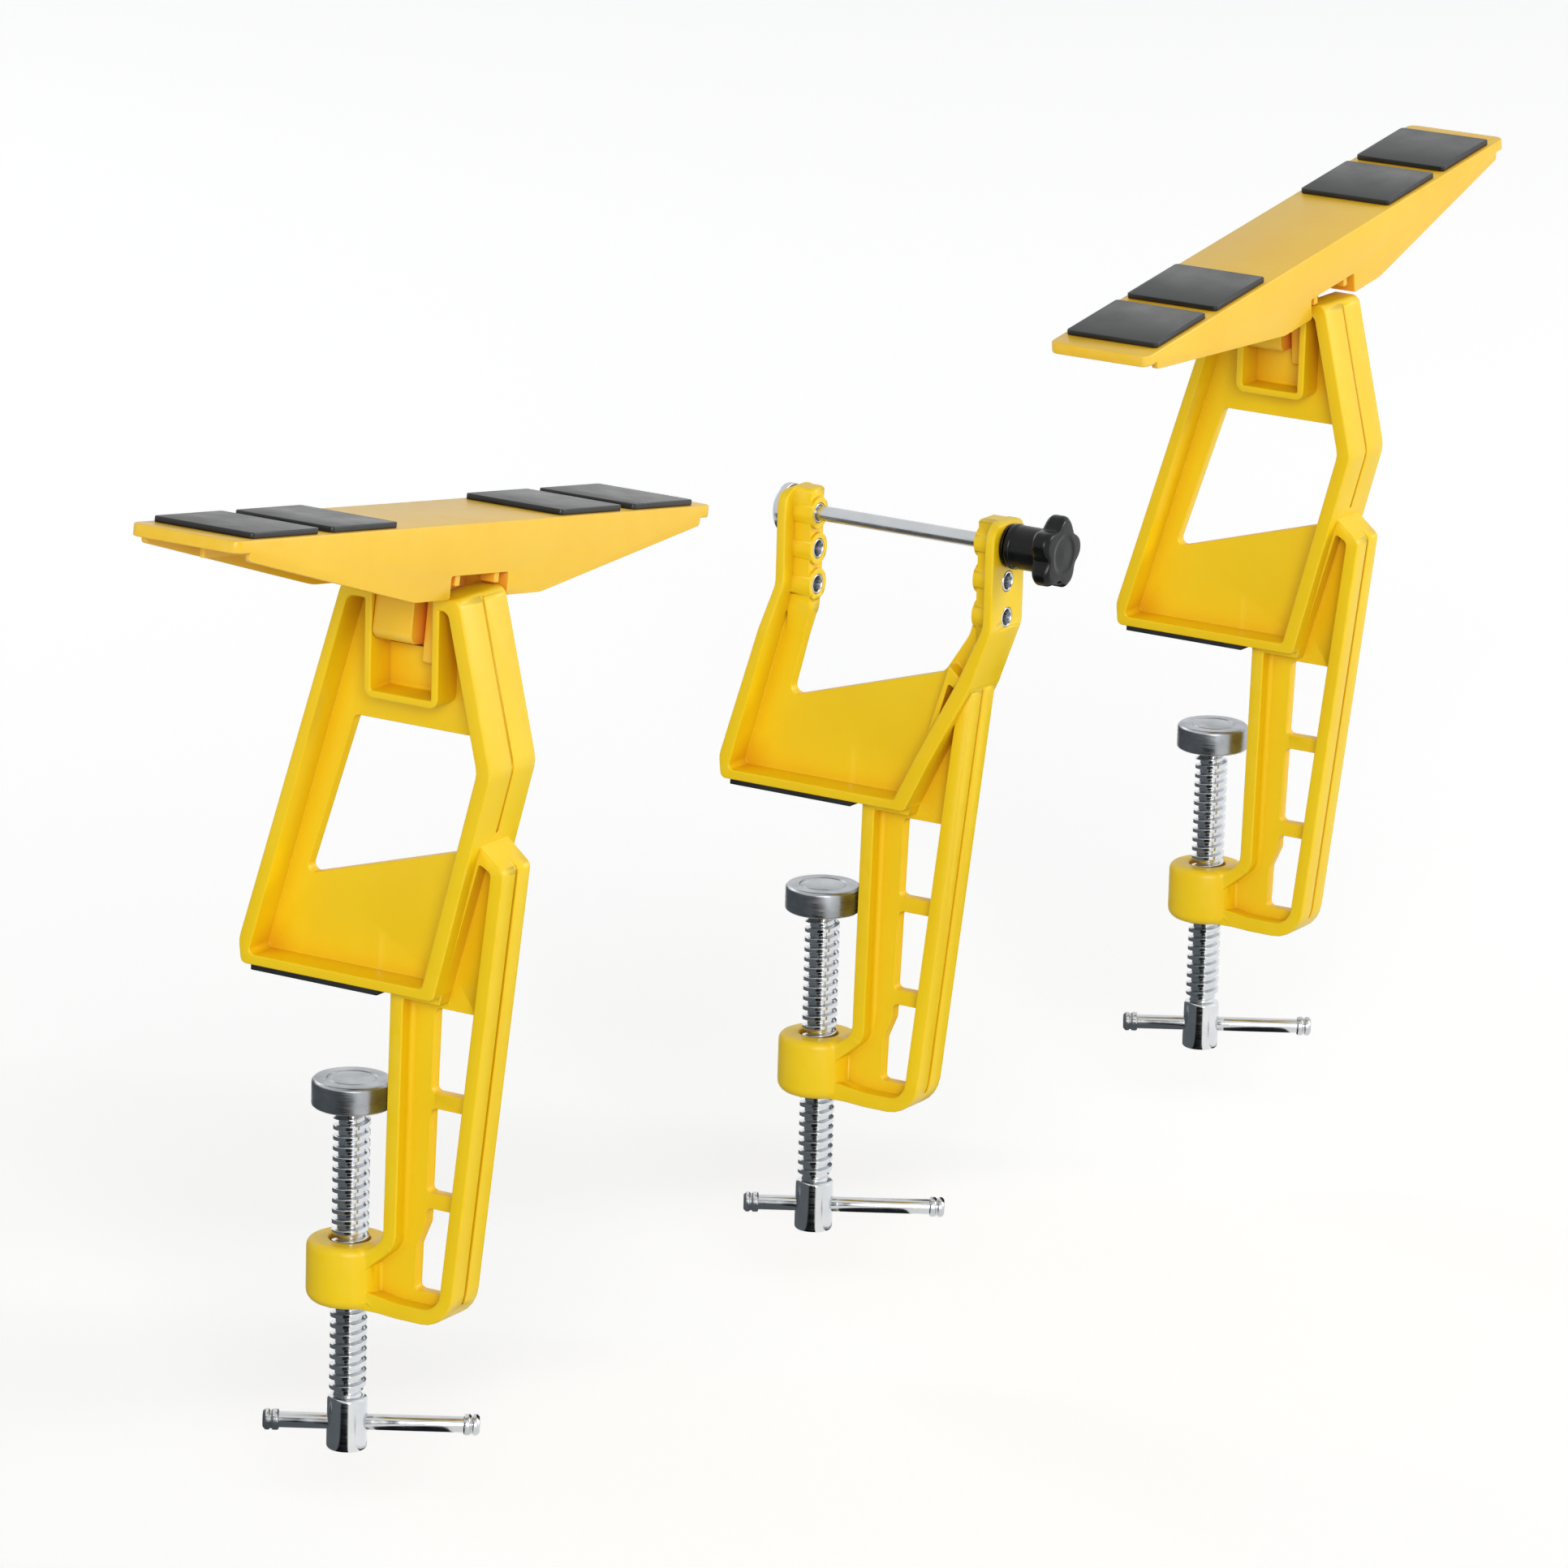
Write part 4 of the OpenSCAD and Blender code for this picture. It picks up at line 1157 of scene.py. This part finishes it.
@dataclass(frozen=True)
class GlossCard:
    """A card by a clamp screw, seen only in the gloss, that gives the steel a dark or a pale line.

    It lies level between two directions, counted in degrees to the right of the way to the camera, and
    between two distances from the screw, and it stands up at its far end.
    """

    shade: str
    near_mm: float
    far_mm: float
    first_deg: float
    last_deg: float
    tall_mm: float

    def build(self, unit: Unit, yaw: float, level: float, finish: bpy.types.Material) -> None:
        """Builds the card of one unit.

        Args:
            unit: the unit whose screw it stands by.
            yaw: the camera's direction from +X, in degrees.
            level: the height of the card.
            finish: its material.
        """
        low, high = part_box(f"{unit.value}_clamp_screw")
        foot = np.array([(low.x + high.x) / 2, (low.y + high.y) / 2, level + MM])
        spread = np.radians(yaw + 180 + np.array([self.first_deg, self.last_deg]))
        ways = np.stack([np.cos(spread), np.sin(spread), np.zeros(2)], axis=1)
        flat = foot + MM * np.concatenate([self.near_mm * ways, self.far_mm * ways[::-1]])
        points = np.concatenate([flat, flat[2:] + np.array([0, 0, self.tall_mm * MM])])
        card = mesh_object(f"{unit.value}_flag", points, np.array([[0, 1, 2, 3], [3, 2, 4, 5]]), smooth=False)
        card.data.materials.append(finish)
        for sight in ("camera", "diffuse", "transmission", "volume_scatter", "shadow"):
            setattr(card, f"visible_{sight}", False)
        card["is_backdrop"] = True


@dataclass
class Stage:
    """Camera, lamps, world, floor and gloss cards."""

    focal_px: float = 11092.0
    image_px: float = 1932.0
    sensor_mm: float = 36.0
    yaw: float = 31.49
    pitch: float = 15.10
    roll: float = 1.67
    centre_mm: tuple[float, ...] = (-15.6, -3.4, 3559.9)
    # The name, the place and size in metres, and the power in watts of each lamp.
    lamps: tuple[tuple[str, tuple[float, ...], float, float], ...] = (
        ("key lamp", (-9.3, -6.3, 3.6), 6.0, 780.0),
        ("fill lamp", (2.6, -3.4, 1.6), 2.2, 80.0),
        ("back lamp", (0.6, 3.0, 1.6), 2.0, 16.0),
    )
    sky_strength: float = 0.68
    horizon: str = "#FFFFFF"
    overhead: str = "#86898E"
    floor_half_m: float = 12.0
    floor_shown: str = "#F4F4F2"
    floor_lit: str = "#C4C4C2"
    floor_lift: float = 0.35
    far_lift: float = 0.1
    fade_from: float = 0.3
    fade_to: float = 3.5
    drop_mm: float = 52.0
    cards: tuple[GlossCard, ...] = (
        GlossCard("#060708", 3.0, 220.0, -31.0, 8.0, 200.0),
        GlossCard("#5F6468", 3.0, 220.0, -150.0, -31.0, 200.0),
        GlossCard("#FFFFFF", 11.0, 14.0, 40.0, 130.0, 200.0),
        GlossCard("#1E2124", 6.0, 50.0, 45.0, 125.0, 1.0),
    )

    def camera(self) -> None:
        """Puts the camera where the straight edges of the three units in the photograph say.

        A point P is seen at R P + T. The rows of R are right, down and forward, rolled about forward, so the
        camera stands at minus R transposed times T.
        """
        yaw, pitch, roll = (math.radians(v) for v in (self.yaw, self.pitch, self.roll))
        forward = np.array([math.cos(yaw) * math.cos(pitch), math.sin(yaw) * math.cos(pitch), -math.sin(pitch)])
        right = np.array([math.sin(yaw), -math.cos(yaw), 0.0])
        down = np.cross(forward, right)
        turn = np.array([[math.cos(roll), -math.sin(roll), 0], [math.sin(roll), math.cos(roll), 0], [0, 0, 1]])
        rows = turn @ np.array([right, down, forward])
        place = (-rows.T @ np.array(self.centre_mm) + np.array([0, OUT_ZERO, 0])) * MM
        camera = bpy.data.objects.new("camera", bpy.data.cameras.new("camera"))
        camera.data.sensor_width = self.sensor_mm
        camera.data.lens = self.sensor_mm * self.focal_px / self.image_px
        camera.data.clip_end = 50.0
        axes = Matrix([rows[0], -rows[1], -rows[2]]).transposed().to_4x4()
        camera.matrix_world = Matrix.Translation(place) @ axes
        bpy.context.scene.collection.objects.link(camera)
        bpy.context.scene.camera = camera

    def light(self) -> None:
        """Adds soft disc lamps that look at the origin."""
        for name, place, size, power in self.lamps:
            data = bpy.data.lights.new(name, "AREA")
            data.shape = "DISK"
            data.size = size
            data.energy = power
            lamp = bpy.data.objects.new(name, data)
            aim = (-Vector(place)).to_track_quat("-Z", "Y")
            lamp.matrix_world = Matrix.Translation(place) @ aim.to_matrix().to_4x4()
            bpy.context.scene.collection.objects.link(lamp)

    def shown_rays(self, tree: NodeTree) -> bpy.types.Node:
        """Adds nodes that give 1 to the rays of the camera, of gloss and of glass, and 0 to the rest.

        Args:
            tree: the node tree of the floor or the world.

        Returns:
            The last node.
        """
        path = tree.add("LightPath")
        shown = path.outputs["Is Camera Ray"]
        for ray in ("Is Glossy Ray", "Is Transmission Ray"):
            shown = tree.add("Math", operation="MAXIMUM", links={0: shown, 1: path.outputs[ray]})
        return shown

    def world(self) -> None:
        """Builds a world that is white to the shown rays, and to the rest a soft sky that darkens overhead."""
        tree = NodeTree(bpy.data.worlds.new("studio"))
        white = tree.add("Background", values={"Color": to_linear("#FFFFFF"), "Strength": 1.0})
        way = tree.add("SeparateXYZ", links={0: tree.add("TexCoord").outputs["Generated"]})
        shade = tree.add("ValToRGB", links={"Fac": way.outputs["Z"]}, stops=((0.1, self.horizon), (0.9, self.overhead)))
        sky = tree.add("Background", values={"Strength": self.sky_strength}, links={"Color": shade})
        both = tree.add("MixShader", links={0: self.shown_rays(tree), 1: sky, 2: white})
        bpy.context.scene.world = tree.finish(both, "OutputWorld")

    def floor(self, level: float) -> None:
        """Builds a wide pale floor that fades into the white of the world.

        The shown rays see it pale, with a glow that grows with the distance from the origin. To the rest it
        is greyer, so that it throws less light up at the object.

        Args:
            level: its height.
        """
        tree = NodeTree(bpy.data.materials.new("pale floor"))
        pale = tree.add("BsdfPrincipled", values={
            "Base Color": to_linear(self.floor_shown), "Roughness": 0.9, "Specular IOR Level": 0.1})
        away = tree.add("VectorMath", operation="LENGTH", links={0: tree.add("TexCoord").outputs["Object"]})
        lift = tree.add("MapRange", links={"Value": away.outputs["Value"]}, values={
            "From Min": self.fade_from, "From Max": self.fade_to,
            "To Min": self.floor_lift, "To Max": self.floor_lift + self.far_lift})
        glow = tree.add("Emission", values={"Color": to_linear("#FFFFFF")}, links={"Strength": lift})
        lifted = tree.add("AddShader", links={0: pale, 1: glow})
        dull = tree.add("BsdfDiffuse", values={"Color": to_linear(self.floor_lit)})
        shader = tree.add("MixShader", links={0: self.shown_rays(tree), 1: dull, 2: lifted})
        points = np.array([[x * self.floor_half_m, y * self.floor_half_m, level]
                           for x, y in ((-1, -1), (1, -1), (1, 1), (-1, 1))])
        floor = mesh_object("floor", points, np.array([[0, 1, 2, 3]]), smooth=False)
        floor.data.materials.append(tree.finish(shader))
        floor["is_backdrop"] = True

    def build(self, level: float) -> None:
        """Builds the whole stage.

        Args:
            level: the height just under the tommy bars at rest. The floor is lower by the screws' travel.
        """
        for card in self.cards:
            tree = NodeTree(bpy.data.materials.new(f"{card.shade} card"))
            finish = tree.finish(tree.add("Emission", values={"Color": to_linear(card.shade)}))
            for unit in Unit:
                card.build(unit, self.yaw, level, finish)
        self.camera()
        self.light()
        self.world()
        self.floor(level - self.drop_mm * MM)
        bpy.context.scene.view_settings.view_transform = "Standard"


# ---------------------------------------------------------------- the set


@dataclass
class SkiViseSet:
    """The whole set, built unit by unit."""

    # The last two colours of each nylon are its painted edge highlight and the painted tint of its hollows: amber shade
    # on the frame, orange bounced light on the platform.
    frame_finish: MouldedNylon = MouldedNylon("yellow moulded nylon", "#F9D30C", "#F6CC06", "#FDE050", "#D2940C")
    platform_finish: MouldedNylon = MouldedNylon(
        "warm yellow moulded nylon", "#FACB2C", "#F8C420", "#FCDA78", "#E87A2C", roughness=0.34,
        hollow_mm=12.0, grain_strength=0.08)
    foot_finish: Rubber = Rubber("black moulded rubber", "#17191B", "#242628")
    pad_finish: Rubber = Rubber("grey friction rubber", "#15181A", "#1F2224", roughness=0.33, grain_mm=1.1,
                                depth_mm=0.02)
    screw_finish: TurnedMetal = TurnedMetal("zinc plated rolled thread", "#E2E4E6", "#D4D7DA", 0.15)
    bar_finish: TurnedMetal = TurnedMetal("zinc plated drawn bar", "#D0D3D5", "#C8CBCE", 0.16, line_mm=6.0,
                                          along=(1.0, 1.0, 1.0))
    rod_finish: TurnedMetal = TurnedMetal("zinc plated drawn rod", "#C8CBCE", "#C1C4C7", 0.22, line_mm=6.0,
                                          along=(1.0, 1.0, 1.0))
    cap_finish: TurnedMetal = TurnedMetal("bright turned caps", "#D4D6D8", "#B0B4B8", 0.2)
    plate_finish: TurnedMetal = TurnedMetal("zinc plated turned plate", "#B9BCC0", "#93979B", 0.3)
    nut_finish: TurnedMetal = TurnedMetal("plain steel nut", "#A9ACB0", "#84888C", 0.32)
    # The washer is given a near-black steel colour.
    washer_finish: TurnedMetal = TurnedMetal("near-black punched steel", "#2C2E30", "#1E2022", 0.3)
    insert_finish: TurnedMetal = TurnedMetal("turned brass", "#D9B25E", "#B88F3E", 0.25)

    def build(self, frame: dict) -> None:
        """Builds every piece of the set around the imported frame.

        Args:
            frame: the loaded frame.
        """
        dresser = Dresser(frame)
        yellow, deck, foot, pad, screw, bar, cap, plate, nut = (finish.material() for finish in (
            self.frame_finish, self.platform_finish, self.foot_finish, self.pad_finish, self.screw_finish,
            self.bar_finish, self.cap_finish, self.plate_finish, self.nut_finish))
        for unit in Unit:
            name = unit.value
            MouldedPiece(f"{name}_frame", "vise_set", "moulded_frame", edge_mm=0.75, segments=4,
                         inner_mm=2.0).build(dresser, yellow)
            MouldedPiece(f"{name}_foot_strip", "vise_set", "foot_rubber", edge_mm=0.3,
                         segments=2).build(dresser, foot)
            dresser.cover(f"{name}_clamp_nut", nut)
            PressurePlate(unit).build(dresser, plate)
            ClampScrew(unit).build(dresser, screw)
            TommyBar(unit).build(dresser, bar, cap)
            if unit is not Unit.CENTRE:
                body = f"{name}_rocker"
                MouldedPiece(f"{name}_platform", body, "moulded_platform", edge_mm=0.6,
                             inner_mm=1.2).build(dresser, deck)
                MouldedPiece(f"{name}_ski_pads", body, "pad_rubber", edge_mm=0.4).build(dresser, pad)
        clamp = CentreClamp()
        clamp.rod(dresser, self.rod_finish.material())
        clamp.bushes(dresser, cap)
        clamp.washer(dresser, self.washer_finish.material())
        clamp.knob(dresser, PhenolicGrip().material())
        dresser.cover("knob_insert", self.insert_finish.material())
        LOG.info("%d new pieces", dresser.count)


def corners(box: tuple[Vector, Vector]) -> list[list[float]]:
    """A box's two corners as plain lists."""
    return [[float(v) for v in corner] for corner in box]


def main() -> None:
    """Loads the frame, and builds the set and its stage."""
    logging.basicConfig(level=logging.INFO, format="%(message)s")
    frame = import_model()
    cad_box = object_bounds()
    SkiViseSet().build(frame)
    Stage().build(cad_box[0][2] - FLOOR_GAP)


if __name__ == "__main__":
    main()
